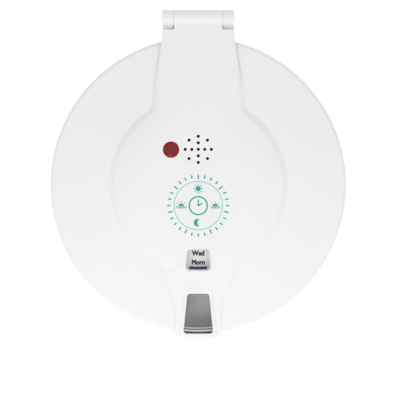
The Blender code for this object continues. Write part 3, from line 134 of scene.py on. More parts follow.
# Base, tray and hub
BASE_R = 94.4
BASE_BORE = 92.9
BASE_LOW = 1.5
BASE_ROUND = 9.0
BASE_WALL = 2.2
BASE_FLAT = BASE_R - BASE_ROUND
JOINT_R = BASE_R - 0.75  # nose and hinge tower reach into the cup's wall
NOSE_FRONT = NOSE_REACH - 0.3
BAY_Y = 35.5
BAY_HALF_X = 28.0
BAY_HALF_Y = 30.65
BAY_WALL = 2.5
BAY_TOP = (18.8, 21.3)
LATCH_Z = 39.5
LATCH_HALF = 6.0
POCKET_HALF = 9.5
DISPLAY_HALF = (17.3, 8.8)
DISPLAY_Y = 5.0
SCREEN_Z = 44.6
KEY_NAMES = ("set_key", "hour_key", "minute_key", "alarm_key")
KEY_X = (-19.5, -6.5, 6.5, 19.5)
KEY_Y = -16.0
CAP_SHARE = 0.73
LABEL_CAP = 3.25
LABEL_SQUEEZE = 0.87
PANEL_CAP = 1.7
STRIKES = [(0.25 * math.cos(k * math.pi / 4), 0.17 * math.sin(k * math.pi / 4))
           for k in range(8)]
STRIKE_LIFT = 0.003  # so that no two strikes share a plane
DAYS = ("Wed", "Thu", "Fri", "Sat", "Sun", "Mon", "Tue")
TIMES = ("Morn", "Noon", "Eve", "Bed")
DOSES = len(TIMES)
POCKETS = len(DAYS) * DOSES
PITCH = math.tau / POCKETS
TRAY_R = 91.9
TRAY_RIM = 92.4
RACK_R = 57.0
TRAY_WALL = 1.4
TRAY_GAP = 0.15
DIVIDER = 1.2
DAY_WALL = 0.9
TRAY_BORE = 38.9
HUB_R = 36.0
GEAR_TEETH = 60
GEAR_MODULE = 1.6
GEAR_ROOT = 1.84
GEAR_TIP = 1.44
GEAR_BACKLASH = 0.04

# Smoothness
RING_STEPS = 224
EDGE_STEPS = 4
SUPPORT = 0.06
SHARP_ANGLE = 32.0
BEVEL = 0.15


def around(radius, angles):
    """Places in plan at one radius and several angles in degrees."""
    return [(radius * math.cos(math.radians(a)), radius * math.sin(math.radians(a)))
            for a in angles]


FEET = around(76.0, (45, 135, 225, 315))
CASE_SCREWS = around(80.0, (20, 160, 200, 340))
LID_SCREWS = around(75.0, (50, 130, 215, 325))


# Outlines and profiles

def ray(angle):
    """Unit vectors at angles in radians."""
    return np.stack([np.cos(angle), np.sin(angle)], -1)


def circle(radius, centre=(0.0, 0.0), steps=48):
    """A ring of points: centre plus radius times the unit vector at even angles."""
    return np.asarray(centre) + radius * ray(math.tau * np.arange(steps) / steps)


def arc(centre, radius, start, end, steps=8):
    """Points on part of a circle, both ends included."""
    return np.asarray(centre) + radius * ray(np.linspace(start, end, steps + 1))


def corner_arc(before, here, after, radius, steps):
    """Arc that touches both sides of a corner, unit vectors along them, and its reach."""
    back, ahead = [(end - here) / np.linalg.norm(end - here) for end in (before, after)]
    half = math.acos(np.clip(back @ ahead, -1, 1)) / 2
    way = (back + ahead) / np.linalg.norm(back + ahead)
    middle = here + way * radius / math.sin(half)
    first, last = [math.atan2(*(here + side * radius / math.tan(half) - middle)[::-1])
                   for side in (back, ahead)]
    sweep = (last - first + math.pi) % math.tau - math.pi
    bend = arc(middle, radius, first, first + sweep, steps)
    return bend, back, ahead, radius / math.tan(half)


def rounded(corners, radii, steps=6):
    """An outline whose corners are arcs that touch both sides."""
    corners = np.asarray(corners, float)
    radii = np.broadcast_to(radii, len(corners))
    after = np.roll(corners, -1, 0)
    return np.concatenate([corner_arc(corners[k - 1], here, after[k], radii[k], steps)[0]
                           if radii[k] else here[None] for k, here in enumerate(corners)])


def soft_profile(corners, steps=EDGE_STEPS):
    """A (radius, height) line whose corners, given as (radius, height, fillet), are arcs.

    A support point stands close on either side of each arc, so flat runs shade flat.
    """
    places = np.asarray([corner[:2] for corner in corners], float)
    line = [places[:1]]
    for k in range(1, len(corners) - 1):
        here = places[k]
        if len(corners[k]) < 3:
            line.append([here])
            continue
        bend, back, ahead, reach = corner_arc(places[k - 1], here, places[k + 1],
                                              corners[k][2], steps)
        line += [[here + back * (reach + SUPPORT)], bend, [here + ahead * (reach + SUPPORT)]]
    return np.concatenate(line + [places[-1:]])


def outward(loop):
    """Unit normals of a closed outline at its points, pointing away from its inside."""
    ahead = np.roll(loop, -1, 0) - loop
    back = loop - np.roll(loop, 1, 0)
    ahead /= np.linalg.norm(ahead, axis=1, keepdims=True)
    back /= np.linalg.norm(back, axis=1, keepdims=True)
    middle = ahead + back
    middle /= np.linalg.norm(middle, axis=1, keepdims=True)
    normal = np.stack([middle[:, 1], -middle[:, 0]], -1)
    stretch = 1 / np.clip((normal * np.stack([ahead[:, 1], -ahead[:, 0]], -1)).sum(1), 0.5, 1)
    x, y = loop.T
    turn = np.sign((x * np.roll(y, -1) - y * np.roll(x, -1)).sum())
    return normal * stretch[:, None] * turn


def taper(near, far, near_half, far_half, corner, margin=0.0):
    """Rounded outline in front of the axis that widens toward the nose."""
    corners = [(-far_half - margin, -far - margin), (far_half + margin, -far - margin),
               (near_half + margin, -near + margin), (-near_half - margin, -near + margin)]
    return rounded(corners, corner + margin, 8)


def box_outline(x_span, y_span, corner=0.0, steps=5):
    """A rectangle in plan, with round corners if a corner radius is given."""
    corners = [(x_span[0], y_span[0]), (x_span[1], y_span[0]), (x_span[1], y_span[1]),
               (x_span[0], y_span[1])]
    return rounded(corners, corner, steps) if corner else np.asarray(corners, float)


def centred_box(x_half, y, y_half, corner=0.0, steps=5):
    """A rectangle about the middle line, its own middle at y."""
    return box_outline((-x_half, x_half), (y - y_half, y + y_half), corner, steps)


def mirrored(half, between=()):
    """A closed outline from its right half and the points between that and its left half."""
    return np.concatenate([half, np.reshape(between, (-1, 2)), half[::-1] * [-1, 1]])


def placed(outline, x, y, turn=0.0):
    """An outline turned about its origin and moved in plan."""
    cosine, sine = math.cos(turn), math.sin(turn)
    return outline @ np.array([[cosine, sine], [-sine, cosine]]) + [x, y]


def lid_surface(radius):
    """Height of the lid's round top: flat, then a slow fall, then a quarter ellipse."""
    radius = np.asarray(radius, float)
    flat_r, flat_z = LID_FLAT
    edge_r, edge_z = LID_SHOULDER
    share = np.clip((radius - edge_r) / (DISC_R - edge_r), 0, 1)
    fall = np.interp(radius, (flat_r, edge_r), (flat_z, edge_z))
    return np.where(radius > edge_r,
                    LID_LOW + (edge_z - LID_LOW) * np.sqrt(1 - share ** 2), fall)


def lid_ground(x, y):
    """Height of the lid where a raised piece's slope can end on it."""
    return lid_surface(np.hypot(x, y).clip(0, SLOPE_END[1]))


def beak_surface(x, y):
    """Height of the beak: a plane a small step under the fascia's rim, lower to the nose.

    Beside the fascia it fades into the lid as 3 s squared - 2 s cubed of the distance from
    the middle line.
    """
    share = (-np.asarray(y) - FASCIA_R) / (NOSE_REACH - FASCIA_R)
    plane = FASCIA_TOP - BEAK_STEP - BEAK_DROP * share.clip(0, 1)
    lid = lid_ground(x, y)
    fade = np.clip((BEAK_FADE[1] - np.abs(x)) / (BEAK_FADE[1] - BEAK_FADE[0]), 0, 1)
    return lid + fade ** 2 * (3 - 2 * fade) * (plane - lid)


def around_fascia(x, y):
    """Height of what surrounds the fascia: the lid, or in front of it the beak."""
    return np.where(y < 0, beak_surface(x, y), lid_ground(x, y))


def under_lid(gap, outside):
    """Rule for a lower side: a gap under the lid's top, and one height past the lid's wall."""
    def height(x, y):
        """The rule at places in plan."""
        radius = np.hypot(x, y)
        return np.where(radius > WALL_FROM, outside,
                        lid_surface(np.minimum(radius, WALL_FROM)) - gap)
    return height


def under_slot(level):
    """Rule for the foot of the slot's wall: a level, and at the nose the lid's lower rim."""
    return lambda x, y: np.where(np.hypot(x, y) > SLOT_WALL_FROM, LID_LOW, level)


def slope_share(x, y):
    """One where a raised piece's edge runs out over the lid.

    Zero where it stands in the air, past the slope's end, or lies under the fascia.
    """
    radius = np.hypot(x, y)
    near, far = SLOPE_END
    over_lid = np.clip((far - radius) / (far - near), 0, 1)
    return (over_lid * np.clip(radius - FASCIA_R + SLOPE_START, 0, 1))[:, None]


# Meshes, each as its points and faces

def dress(name, mesh, material, body, closed=True):
    """An object at the origin from a mesh in millimetres, with doubles merged."""
    points, faces = np.array(mesh[0], float) * MM, mesh[1]
    points[:, 1] += AXIS_Y * MM
    data = bpy.data.meshes.new(name)
    data.from_pydata(points.tolist(), [], [tuple(face) for face in faces])
    shape = bmesh.new()
    shape.from_mesh(data)
    bmesh.ops.remove_doubles(shape, verts=shape.verts, dist=1e-7)
    bmesh.ops.dissolve_degenerate(shape, edges=shape.edges, dist=1e-8)
    if closed:
        bmesh.ops.recalc_face_normals(shape, faces=shape.faces)
    shape.to_mesh(data)
    shape.free()
    data.shade_smooth()
    data.set_sharp_from_angle(angle=math.radians(SHARP_ANGLE))
    data.materials.append(material)
    item = bpy.data.objects.new(name, data)
    bpy.context.scene.collection.objects.link(item)
    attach(item, body)
    return item


def grid_faces(rows, columns, close_rows=False, close_columns=False):
    """Quads over a grid of points stored row by row."""
    row = np.arange(rows if close_rows else rows - 1)
    column = np.arange(columns if close_columns else columns - 1)
    row, column = np.meshgrid(row, column, indexing="ij")
    below, beside = (row + 1) % rows, (column + 1) % columns
    quads = np.stack([row * columns + column, row * columns + beside,
                      below * columns + beside, below * columns + column], -1)
    return quads.reshape(-1, 4).tolist()


def joined(*parts):
    """Several meshes as one."""
    points, faces, total = [], [], 0
    for more, cover in parts:
        points.append(np.asarray(more, float))
        faces += [[corner + total for corner in face] for face in cover]
        total += len(more)
    return np.concatenate(points), faces


def moved(mesh, shift=(0.0, 0.0, 0.0), scale=(1, 1, 1)):
    """A mesh scaled, a minus one mirrors it, and then moved."""
    return mesh[0] * np.array(scale) + shift, mesh[1]


def along_x(mesh, y, z):
    """Turn a mesh made about the vertical so that its axis runs along X at (y, z)."""
    points, faces = mesh
    return np.column_stack([points[:, 2], points[:, 0] + y, points[:, 1] + z]), faces


def facing_front(mesh):
    """Turn a plate made in plan (x, z, depth) so that its top faces the nose."""
    points, faces = mesh
    return np.column_stack([points[:, 0], -points[:, 2], points[:, 1]]), faces


def fill(rings):
    """Triangles over a plan region with holes, from its closed outlines with their heights.

    A triangle belongs to the region if a ray from its middle crosses the outlines an odd number
    of times.
    """
    height = np.concatenate([ring[:, 2] for ring in rings])
    a = np.concatenate([ring[:, :2] for ring in rings])
    b = np.concatenate([np.roll(ring[:, :2], -1, 0) for ring in rings])
    edges, start = [], 0
    for ring in rings:
        count = len(ring)
        edges += [(start + k, start + (k + 1) % count) for k in range(count)]
        start += count
    found = delaunay_2d_cdt([Vector(point) for point in a], edges, [], 1, 1e-6)
    levels = [height[ids[0]] if ids else height[0] for ids in found[3]]
    points = np.asarray([(p.x, p.y, z) for p, z in zip(found[0], levels)])
    faces = np.asarray(found[2])
    middle = points[faces][:, :, :2].mean(1)
    rise = np.where(b[:, 1] == a[:, 1], 1.0, b[:, 1] - a[:, 1])
    x, y = middle[:, :1], middle[:, 1:]
    crossing = a[:, 0] + (y - a[:, 1]) * (b[:, 0] - a[:, 0]) / rise
    crossed = ((a[:, 1] > y) != (b[:, 1] > y)) & (crossing > x)
    return points, faces[crossed.sum(1) % 2 == 1].tolist()


def at_height(loop, rule, drop=0.0):
    """An outline with heights, from a number or a function of x and y, less a drop."""
    height = rule(loop[:, 0], loop[:, 1]) if callable(rule) else rule
    return np.column_stack([loop, np.broadcast_to(height, len(loop)) - drop])


def lid_slope(loop, away, top, ground):
    """Rings of the edge of a piece raised on the lid, from its flat top down to its foot.

    Over the lid it falls from the top to the ground as a mix of s and 3 s squared - 2 s cubed,
    with s from 0 to 1 across the slope's width, which is smaller over a low step; in the air
    it is a quarter circle.
    """
    rings = []
    share = slope_share(*loop.T)
    step = at_height(loop, top)[:, 2:] - at_height(loop, ground)[:, 2:]
    width = np.clip(step / FULL_STEP, 0.2, 1)
    inside = EDGE_ROLL + (SLOPE_IN * width - EDGE_ROLL) * share
    outside = SLOPE_OUT * width * share
    for s in np.linspace(0, 1, SLOPE_RINGS):
        plan = loop + away * ((inside + outside) * s - inside)
        high = at_height(plan, top)[:, 2:]
        curve = SLOPE_EASE * s ** 2 * (3 - 2 * s) + (1 - SLOPE_EASE) * s
        fall = share * (high - at_height(plan, ground)[:, 2:]) * curve
        turn = (1 - share) * inside * (1 - math.sqrt(1 - s ** 2))
        rings.append(np.column_stack([plan, high - fall - turn]))
    return rings


def plate(outer, holes, top, low, roll=0.4, hole_roll=None, low_hole=None, fillet=0.0,
          ground=None):
    """A plate whose plan is an outline with holes.

    Each upper edge is a quarter circle: at angle a it lies in by roll times 1 - sin a and down
    by roll times 1 - cos a. Support rings keep the flat top and the walls flat. With a fillet
    the holes are pockets, and a quarter circle of that radius leads to each pocket's floor.
    With a ground the outer edge slopes down to it.
    """
    parts, caps, feet = [], [], []
    hole_rolls = np.broadcast_to(roll if hole_roll is None else hole_roll, len(holes))
    for index, loop in enumerate([outer] + list(holes)):
        radius = hole_rolls[index - 1] if index else roll
        away = outward(loop) * (-1 if index else 1)
        bends = [(radius * (1 - math.sin(a)), radius * (1 - math.cos(a)))
                 for a in np.linspace(0, math.pi / 2, EDGE_STEPS + 1)]
        rings = [at_height(loop - away * inset, top, drop) for inset, drop in
                 [(radius + SUPPORT, 0.0)] + bends + [(0.0, radius + SUPPORT)]]
        if ground and not index:
            rings = lid_slope(loop, away, top, ground)
        rings.append(at_height(rings[-1][:, :2],
                               low_hole if index and low_hole is not None else low))
        if index and fillet:
            floor = rings.pop()[:, 2]
            rings += [np.column_stack([loop + away * fillet * (1 - math.cos(a)),
                                       floor + fillet * (1 - math.sin(a))])
                      for a in np.linspace(0, math.pi / 2, EDGE_STEPS + 2)]
        caps.append(rings[0])
        feet.append(rings[-1])
        parts.append((np.concatenate(rings),
                      grid_faces(len(rings), len(loop), close_columns=True)))
    groups = [caps] + ([[foot] for foot in feet] if fillet else [feet])
    return joined(*parts, *[fill(group) for group in groups])


def revolve(profile, steps=RING_STEPS, start=0.0, sweep=math.tau, closed=False):
    """A profile turned about the vertical: (r cos a, r sin a, z)."""
    profile = np.asarray(profile, float)
    whole = sweep == math.tau
    count = steps if whole else steps + 1
    angles = start + sweep * np.arange(count) / steps
    plan = profile[:, None, :1] * ray(angles)[None]
    height = np.broadcast_to(profile[:, None, 1:], (len(profile), count, 1))
    points = np.concatenate([plan, height], -1).reshape(-1, 3)
    faces = grid_faces(len(profile), count, closed, whole)
    if closed and not whole:
        rows = np.arange(len(profile)) * count
        faces += [rows.tolist(), (rows + count - 1)[::-1].tolist()]
    return points, faces


def loft(sections):
    """A bar through outlines that are rings of (x, y, z) with the same number of points."""
    count = len(sections[0])
    last = (len(sections) - 1) * count
    faces = grid_faces(len(sections), count, close_columns=True)
    return (np.concatenate(sections),
            faces + [list(range(count)), list(range(last, last + count))])


def block(outline, low, high):
    """A plain prism over a plan outline, for a bevel to finish."""
    return loft([at_height(outline, level) for level in (low, high)])


def bevelled(item):
    """Round an object's sharp edges with a live bevel."""
    bevel = item.modifiers.new("edge_rounding", "BEVEL")
    bevel.width = BEVEL * MM
    bevel.segments = 3
    bevel.limit_method = "ANGLE"
    bevel.angle_limit = math.radians(40.0)
    bevel.harden_normals = False
    bevel.miter_outer = "MITER_ARC"
    return item


# Materials. Each docstring or comment says how the real thing is made and what the eye gets

def linear(code):
    """An sRGB hex colour as linear red, green and blue."""
    values = [int(code[k:k + 2], 16) / 255 for k in (1, 3, 5)]
    return [v / 12.92 if v <= 0.04045 else ((v + 0.055) / 1.055) ** 2.4 for v in values]


def add_node(material, kind, links=(), **settings):
    """Add one node; settings name its properties or sockets, links are (socket, output)."""
    node = material.node_tree.nodes.new(kind)
    for name, value in settings.items():
        if hasattr(node, name):
            setattr(node, name, value)
        else:
            node.inputs[name.replace("_", " ")].default_value = value
    for socket, output in links:
        material.node_tree.links.new(output, node.inputs[socket])
    return node


def new_material(name, colour, roughness, **sockets):
    """A Principled material; colour is an sRGB hex, other sockets by name."""
    material = bpy.data.materials.new(name)
    material.use_nodes = True
    shader = material.node_tree.nodes["Principled BSDF"]
    shader.inputs["Base Color"].default_value = (*linear(colour), 1.0)
    shader.inputs["Roughness"].default_value = roughness
    for socket, value in sockets.items():
        shader.inputs[socket.replace("_", " ")].default_value = value
    return material


def feed(material, output, socket):
    """Link an output to a socket of the Principled shader."""
    shader = material.node_tree.nodes["Principled BSDF"]
    material.node_tree.links.new(output, shader.inputs[socket])


def object_place(material):
    """Object coordinates, in metres, as a link to a Vector socket."""
    return "Vector", add_node(material, "ShaderNodeTexCoord").outputs["Object"]


def noise(material, size_mm, **settings):
    """Noise in object space, one patch about as wide as the size."""
    return add_node(material, "ShaderNodeTexNoise", [object_place(material)],
                    Scale=1 / (size_mm * MM), **settings).outputs["Fac"]


def bump(material, height, depth_mm):
    """Let the surface rise with a height, by the depth at most."""
    node = add_node(material, "ShaderNodeBump", [("Height", height)], Distance=depth_mm * MM)
    feed(material, node.outputs["Normal"], "Normal")


def ramp(material, factor, *stops):
    """Colour the surface by a factor; each stop is (position, sRGB hex)."""
    node = add_node(material, "ShaderNodeValToRGB", [("Fac", factor)])
    for element, (position, code) in zip(node.color_ramp.elements, stops):
        element.position, element.color = position, (*linear(code), 1.0)
    feed(material, node.outputs["Color"], "Base Color")


def grain(material, size_mm, depth_mm, rough=None):
    """Moulded grain: noise one grain wide as bump, and broad noise in the roughness."""
    bump(material, noise(material, size_mm, Detail=3.0, Roughness=0.6), depth_mm)
    if rough:
        span = add_node(material, "ShaderNodeMapRange",
                        [("Value", noise(material, size_mm * 30, Detail=4.0))],
                        To_Min=rough[0], To_Max=rough[1])
        feed(material, span.outputs["Result"], "Roughness")


def tone(material, light, dark, size_mm):
    """A faint drift between two colours over a broad noise."""
    ramp(material, noise(material, size_mm, Detail=2.0), (0.3, dark), (0.7, light))


def moulded_abs(name, light, dark, roughness):
    """ABS from a spark-eroded mould: a soft sheen broken by a fine even grain."""
    material = new_material(name, light, roughness, IOR=1.53)
    tone(material, light, dark, 60)
    grain(material, 0.5, 0.006, (roughness - 0.05, roughness + 0.05))
    return material


def clear_sheet(name):
    """Extruded polycarbonate: nearly all light goes straight through, the rest is a hard gloss."""
    material = new_material(name, "#8E979B", 0.06, IOR=1.585, Alpha=0.03)
    grain(material, 8.0, 0.002)
    return material


def red_acrylic(name):
    """Moulded red acrylic, polished: deep red at the rim, with a painted reflection that pales the
    middle of the dome to a brownish red.
    """
    material = new_material(name, "#A51826", 0.16, IOR=1.49, Specular_IOR_Level=0.3)
    offset = add_node(material, "ShaderNodeVectorMath", [(0, object_place(material)[1])],
                      operation="SUBTRACT")
    offset.inputs[1].default_value = (LENS[0] * MM, (LENS[1] + AXIS_Y) * MM, FASCIA_TOP * MM)
    away = add_node(material, "ShaderNodeVectorMath", [(0, offset.outputs["Vector"])],
                    operation="LENGTH")
    span = add_node(material, "ShaderNodeMapRange", [("Value", away.outputs["Value"])],
                    From_Min=0.35 * LENS_R * MM, From_Max=0.85 * LENS_R * MM)
    # Painted reflection: the middle of the dome is coloured a paler brownish red as if it mirrored
    # the lights, and the rim keeps the deep red
    ramp(material, span.outputs["Result"], (0.0, "#6E2E2A"), (1.0, "#8C0A12"))
    return material


def soft_rubber(name, light, dark):
    """Moulded rubber or drawn soft PVC: matt, with a dusty even surface."""
    material = new_material(name, light, 0.7, IOR=1.43)
    tone(material, light, dark, 8)
    grain(material, 0.25, 0.006)
    return material


def turned_metal(name, colour, roughness):
    """Plated, stamped or turned metal: bright, with fine tool marks."""
    material = new_material(name, colour, roughness, Metallic=1.0)
    grain(material, 0.3, 0.002, (roughness - 0.08, roughness + 0.1))
    return material


def woven_cloth(name):
    """Acoustic cloth: black threads 0.35 mm apart, drawn as two crossed waves."""
    material = new_material(name, "#141416", 0.85)
    threads = [add_node(material, "ShaderNodeTexWave", [object_place(material)],
                        bands_direction=way, Scale=1 / (0.35 * 20 * MM) * 3.0)
               for way in ("X", "Y")]
    crossed = list(enumerate(thread.outputs["Fac"] for thread in threads))
    both = add_node(material, "ShaderNodeMath", crossed, operation="MULTIPLY")
    bump(material, both.outputs[0], 0.08)
    return material


def thin_film(name, colour, roughness=0.5):
    """A printed or laminated film: thin, even and matt to satin, with little unevenness."""
    material = new_material(name, colour, roughness)
    grain(material, 0.2, 0.001, (roughness - 0.08, roughness + 0.08))
    return material


def circuit_board(name):
    """Glass-epoxy board under green solder mask, with its tracks showing as paler lines."""
    material = new_material(name, "#0F5A34", 0.32, IOR=1.5)
    tracks = add_node(material, "ShaderNodeTexBrick", [object_place(material)],
                      Scale=1 / (6 * MM), Mortar_Size=0.06,
                      **{part: (*linear(code), 1.0) for part, code in
                         (("Color1", "#0F5A34"), ("Color2", "#115F38"), ("Mortar", "#2C8A55"))})
    feed(material, tracks.outputs["Color"], "Base Color")
    return material


ABS_WHITE = moulded_abs("abs_white", "#F3F3F3", "#F0F0F0", 0.42)
ABS_TRAY = moulded_abs("abs_tray_grey", "#D6D7D7", "#D1D2D2", 0.45)
ABS_GREY = moulded_abs("abs_light_grey", "#CBCCCD", "#C5C6C7", 0.48)
ABS_DARK = moulded_abs("abs_dark_grey", "#5E6166", "#565A5F", 0.5)
ABS_BLACK = moulded_abs("abs_black", "#18181A", "#131315", 0.5)
CLEAR = clear_sheet("clear_polycarbonate")
RED_LENS = red_acrylic("red_acrylic")
RUBBER = soft_rubber("silicone_rubber", "#3A3B3F", "#333438")
LEAD_RED = soft_rubber("red_pvc", "#A32B2B", "#982626")
LEAD_BLACK = soft_rubber("black_pvc", "#1E1E20", "#18181A")
STEEL = turned_metal("zinc_plated_steel", "#C3C4C6", 0.28)
BRASS = turned_metal("brass", "#C9A45A", 0.3)
CLOTH = woven_cloth("acoustic_cloth")
BOARD = circuit_board("circuit_board")
# Pad-printed inks: a film so thin and even that only its colour shows
INK_TEAL = thin_film("teal_ink", "#14A896", 0.45)
INK_TEAL_PALE = thin_film("pale_teal_ink", "#7CC9C2", 0.45)
INK_NAVY = thin_film("navy_ink", "#3F3F70")
INK_DARK = thin_film("dark_ink", "#0C0C10", 0.6)
INK_GREY = thin_film("grey_ink", "#5A5D63")
DOSE_INKS = (INK_NAVY, INK_TEAL, INK_TEAL_PALE, INK_GREY)
# Coated label stock, die-cut: matt, and the whitest thing on the part
LABEL_PAPER = thin_film("label_paper", "#FAFAFA", 0.65)
# Heat-shrunk printed sleeve: tight on the cell, so it shows a clear highlight
CELL_WRAP = thin_film("cell_wrap", "#27406B", 0.3)
# Reflective film laminated behind liquid crystal: greenish, with figures as smooth as it is
SCREEN = thin_film("display_film", "#B9C4B4", 0.25)
SCREEN_INK = thin_film("display_ink", "#22282A", 0.3)


# Lid

def keyhole_outline():
    """Circle, touching fillets, narrowing neck, two shoulders and the hinge tongue."""
    foot, rim = np.array(NECK_FOOT), np.array(NECK_RIM)
    along = (rim - foot) / np.linalg.norm(rim - foot)
    across = np.array([along[1], -along[0]])
    off = across @ foot + NECK_FILLET
    centre = across * off + along * math.sqrt((FASCIA_R + NECK_FILLET) ** 2 - off ** 2)
    start = math.atan2(centre[1], centre[0])
    disc = arc((0.0, 0.0), FASCIA_R, -math.pi / 2, start, 110)[1:-1]
    bend = arc(centre, NECK_FILLET, start + math.pi,
               math.atan2(-across[1], -across[0]) + math.tau, 14)
    tongue, reach = KNUCKLE_SPLIT - 0.3, HINGE_REACH - 1.0
    right = rounded([bend[-1], rim, (HINGE_HALF, SHOULDER_Y), (tongue, SHOULDER_Y),
                     (tongue, reach), (-tongue, reach)], [0, 0, 1.2, 0.8, 0, 0], 5)[1:]
    return mirrored(np.concatenate([disc, bend, right[right[:, 0] > 0]]))


def smooth_line(x, knots_x, knots_y):
    """Cubic Hermite line through knots, with slopes limited so that it never overshoots."""
    step = np.diff(knots_x)
    slope = np.diff(knots_y) / step
    tangent = np.empty(len(knots_x))
    tangent[0], tangent[-1] = slope[0], slope[-1]
    inner = slope[:-1] * slope[1:]
    with np.errstate(divide="ignore", invalid="ignore"):
        tangent[1:-1] = np.where(inner > 0, 2 * inner / (slope[:-1] + slope[1:]), 0.0)
    place = np.clip(np.searchsorted(knots_x, x, side="right") - 1, 0, len(step) - 1)
    width = step[place]
    t = (x - knots_x[place]) / width
    return ((2 * t ** 3 - 3 * t ** 2 + 1) * knots_y[place]
            + (t ** 3 - 2 * t ** 2 + t) * width * tangent[place]
            + (-2 * t ** 3 + 3 * t ** 2) * knots_y[place + 1]
            + (t ** 3 - t ** 2) * width * tangent[place + 1])


def beak_outline():
    """Nose with round corners, sides in a smooth curve back to the fascia, and its circle."""
    corner = arc((NOSE_HALF - NOSE_CORNER, -NOSE_REACH + NOSE_CORNER), NOSE_CORNER,
                 -math.pi / 2, 0.0, 8)
    knots = np.array([(NOSE_HALF, NOSE_REACH - NOSE_CORNER)] + list(BEAK_POINTS))
    reach = np.linspace(knots[0, 1], knots[-1, 1], 40)[1:]
    side = np.column_stack([smooth_line(reach, knots[::-1, 1], knots[::-1, 0]), -reach])
    tuck_r = FASCIA_R - BEAK_TUCK
    near = arc((0.0, 0.0), tuck_r, math.atan2(side[-1, 1], side[-1, 0]), -math.pi / 2, 24)[:-1]
    return mirrored(np.concatenate([corner, side, near]), (0.0, -tuck_r))


def grille_holes():
    """Round holes on two rings and one in the middle."""
    loops = []
    for radius, count in GRILLE_RINGS:
        for k in range(count):
            angle = math.tau * k / count
            centre = (radius * math.cos(angle), radius * math.sin(angle) + GRILLE_Y)
            loops.append(circle(GRILLE_HOLE_R, centre, 20))
    return loops


def make_lid_disc():
    """The lid's round wall, turned, left open under the beak where the pills fall through."""
    (flat_r, flat_z), (edge_r, edge_z) = LID_FLAT, LID_SHOULDER
    turns = np.linspace(0, math.pi / 2, 15)
    edge = np.column_stack([edge_r + (DISC_R - edge_r) * np.sin(turns),
                            LID_LOW + (edge_z - LID_LOW) * np.cos(turns)])
    top = [(MIDDLE_R, flat_z), (flat_r - 1.0, flat_z), (flat_r + 1.0, flat_z - 0.05),
           (edge_r - 0.1, edge_z + 0.005)]
    inner = DISC_R - LID_WALL
    under = [(inner, LID_LOW), (inner - 0.4, 49.35), (90.0, 49.8),
             (flat_r, flat_z - LID_WALL), (MIDDLE_R, flat_z - LID_WALL)]
    gap = math.radians(7.0)
    return dress("lid_round_wall", revolve(np.concatenate([top, edge, under]), RING_STEPS,
                                           gap - math.pi / 2, math.tau - 2 * gap, closed=True),
                 ABS_WHITE, "lid")


def make_lid_middle():
    """Flat middle of the lid with its three ways, and a well that frames one label."""
    low = LID_FLAT[1] - LID_WALL
    window, well_wall = taper(*WINDOW, 2.0, 0.2), taper(*WINDOW, 2.8, 1.3)
    ways = [window, circle(SOUND_WAY_R, (0.0, GRILLE_Y)), circle(LIGHT_WAY_R, LENS, 32)]
    wall = plate(circle(MIDDLE_R, steps=RING_STEPS), ways, LID_FLAT[1], low, roll=0.02,
                 hole_roll=0.3)
    well = plate(well_wall, [window], low + 0.1, TRAY_TOP + 0.8, roll=0.05)
    mask = plate(well_wall, [taper(*WINDOW_MASK, 1.2)], TRAY_TOP + 0.9, TRAY_TOP + 0.4,
                 roll=0.05, hole_roll=0.3)
    dress("lid_middle_wall", joined(wall, well, mask), ABS_WHITE, "lid")


def make_beak():
    """Sloping beak and nose, with the dispensing slot."""
    dress("lid_beak", plate(beak_outline(), [taper(*SLOT, 2.0)], beak_surface,
                            under_lid(0.9, LID_LOW), hole_roll=0.05, low_hole=under_slot(49.5),
                            ground=lid_ground), ABS_WHITE, "lid")


def make_slot_frame():
    """Frame round the slot, with a rounded lip.

    It rises from the beak as 3 s squared - 2 s cubed, with s from 0 at its near end to 1 a
    little before the slot.
    """
    def top(x, y):
        """Height of the frame's top at places in plan."""
        share = np.clip((-np.asarray(y) - FRAME[0]) / (SLOT[0] - 1.5 - FRAME[0]), 0, 1)
        return beak_surface(x, y) + 0.05 + (FRAME_RISE - 0.05) * share ** 2 * (3 - 2 * share)

    dress("slot_frame", plate(taper(*FRAME, 2.2), [taper(*SLOT, 2.0, -0.02)], top,
                              lambda x, y: beak_surface(x, y) - 0.5, roll=0.5, hole_roll=0.9,
                              low_hole=under_slot(49.4)), ABS_WHITE, "lid")


def make_fascia():
    """Raised keyhole plate with the window, the lens hole and the speaker grille."""
    sound = grille_holes()
    holes = [taper(*WINDOW, 2.6, -0.2), circle(LENS_R + 0.1, LENS)] + sound
    keyhole = dress("fascia_plate", plate(keyhole_outline(), holes, FASCIA_TOP,
                                          under_lid(0.4, 53.5), low_hole=HOLE_LOW,
                                          hole_roll=[1.1, 0.15] + [0.3] * len(sound),
                                          ground=around_fascia), ABS_WHITE, "lid")
    half = KNUCKLE_SPLIT - 0.1
    barrel = revolve(soft_profile([(0.0, half), (BARREL_R, half, 0.15),
                                   (BARREL_R, -half, 0.15), (0.0, -half)]), 64)
    dress("lid_hinge_barrel", along_x(barrel, HINGE_REACH, HINGE_Z), ABS_WHITE, "lid")
    return keyhole


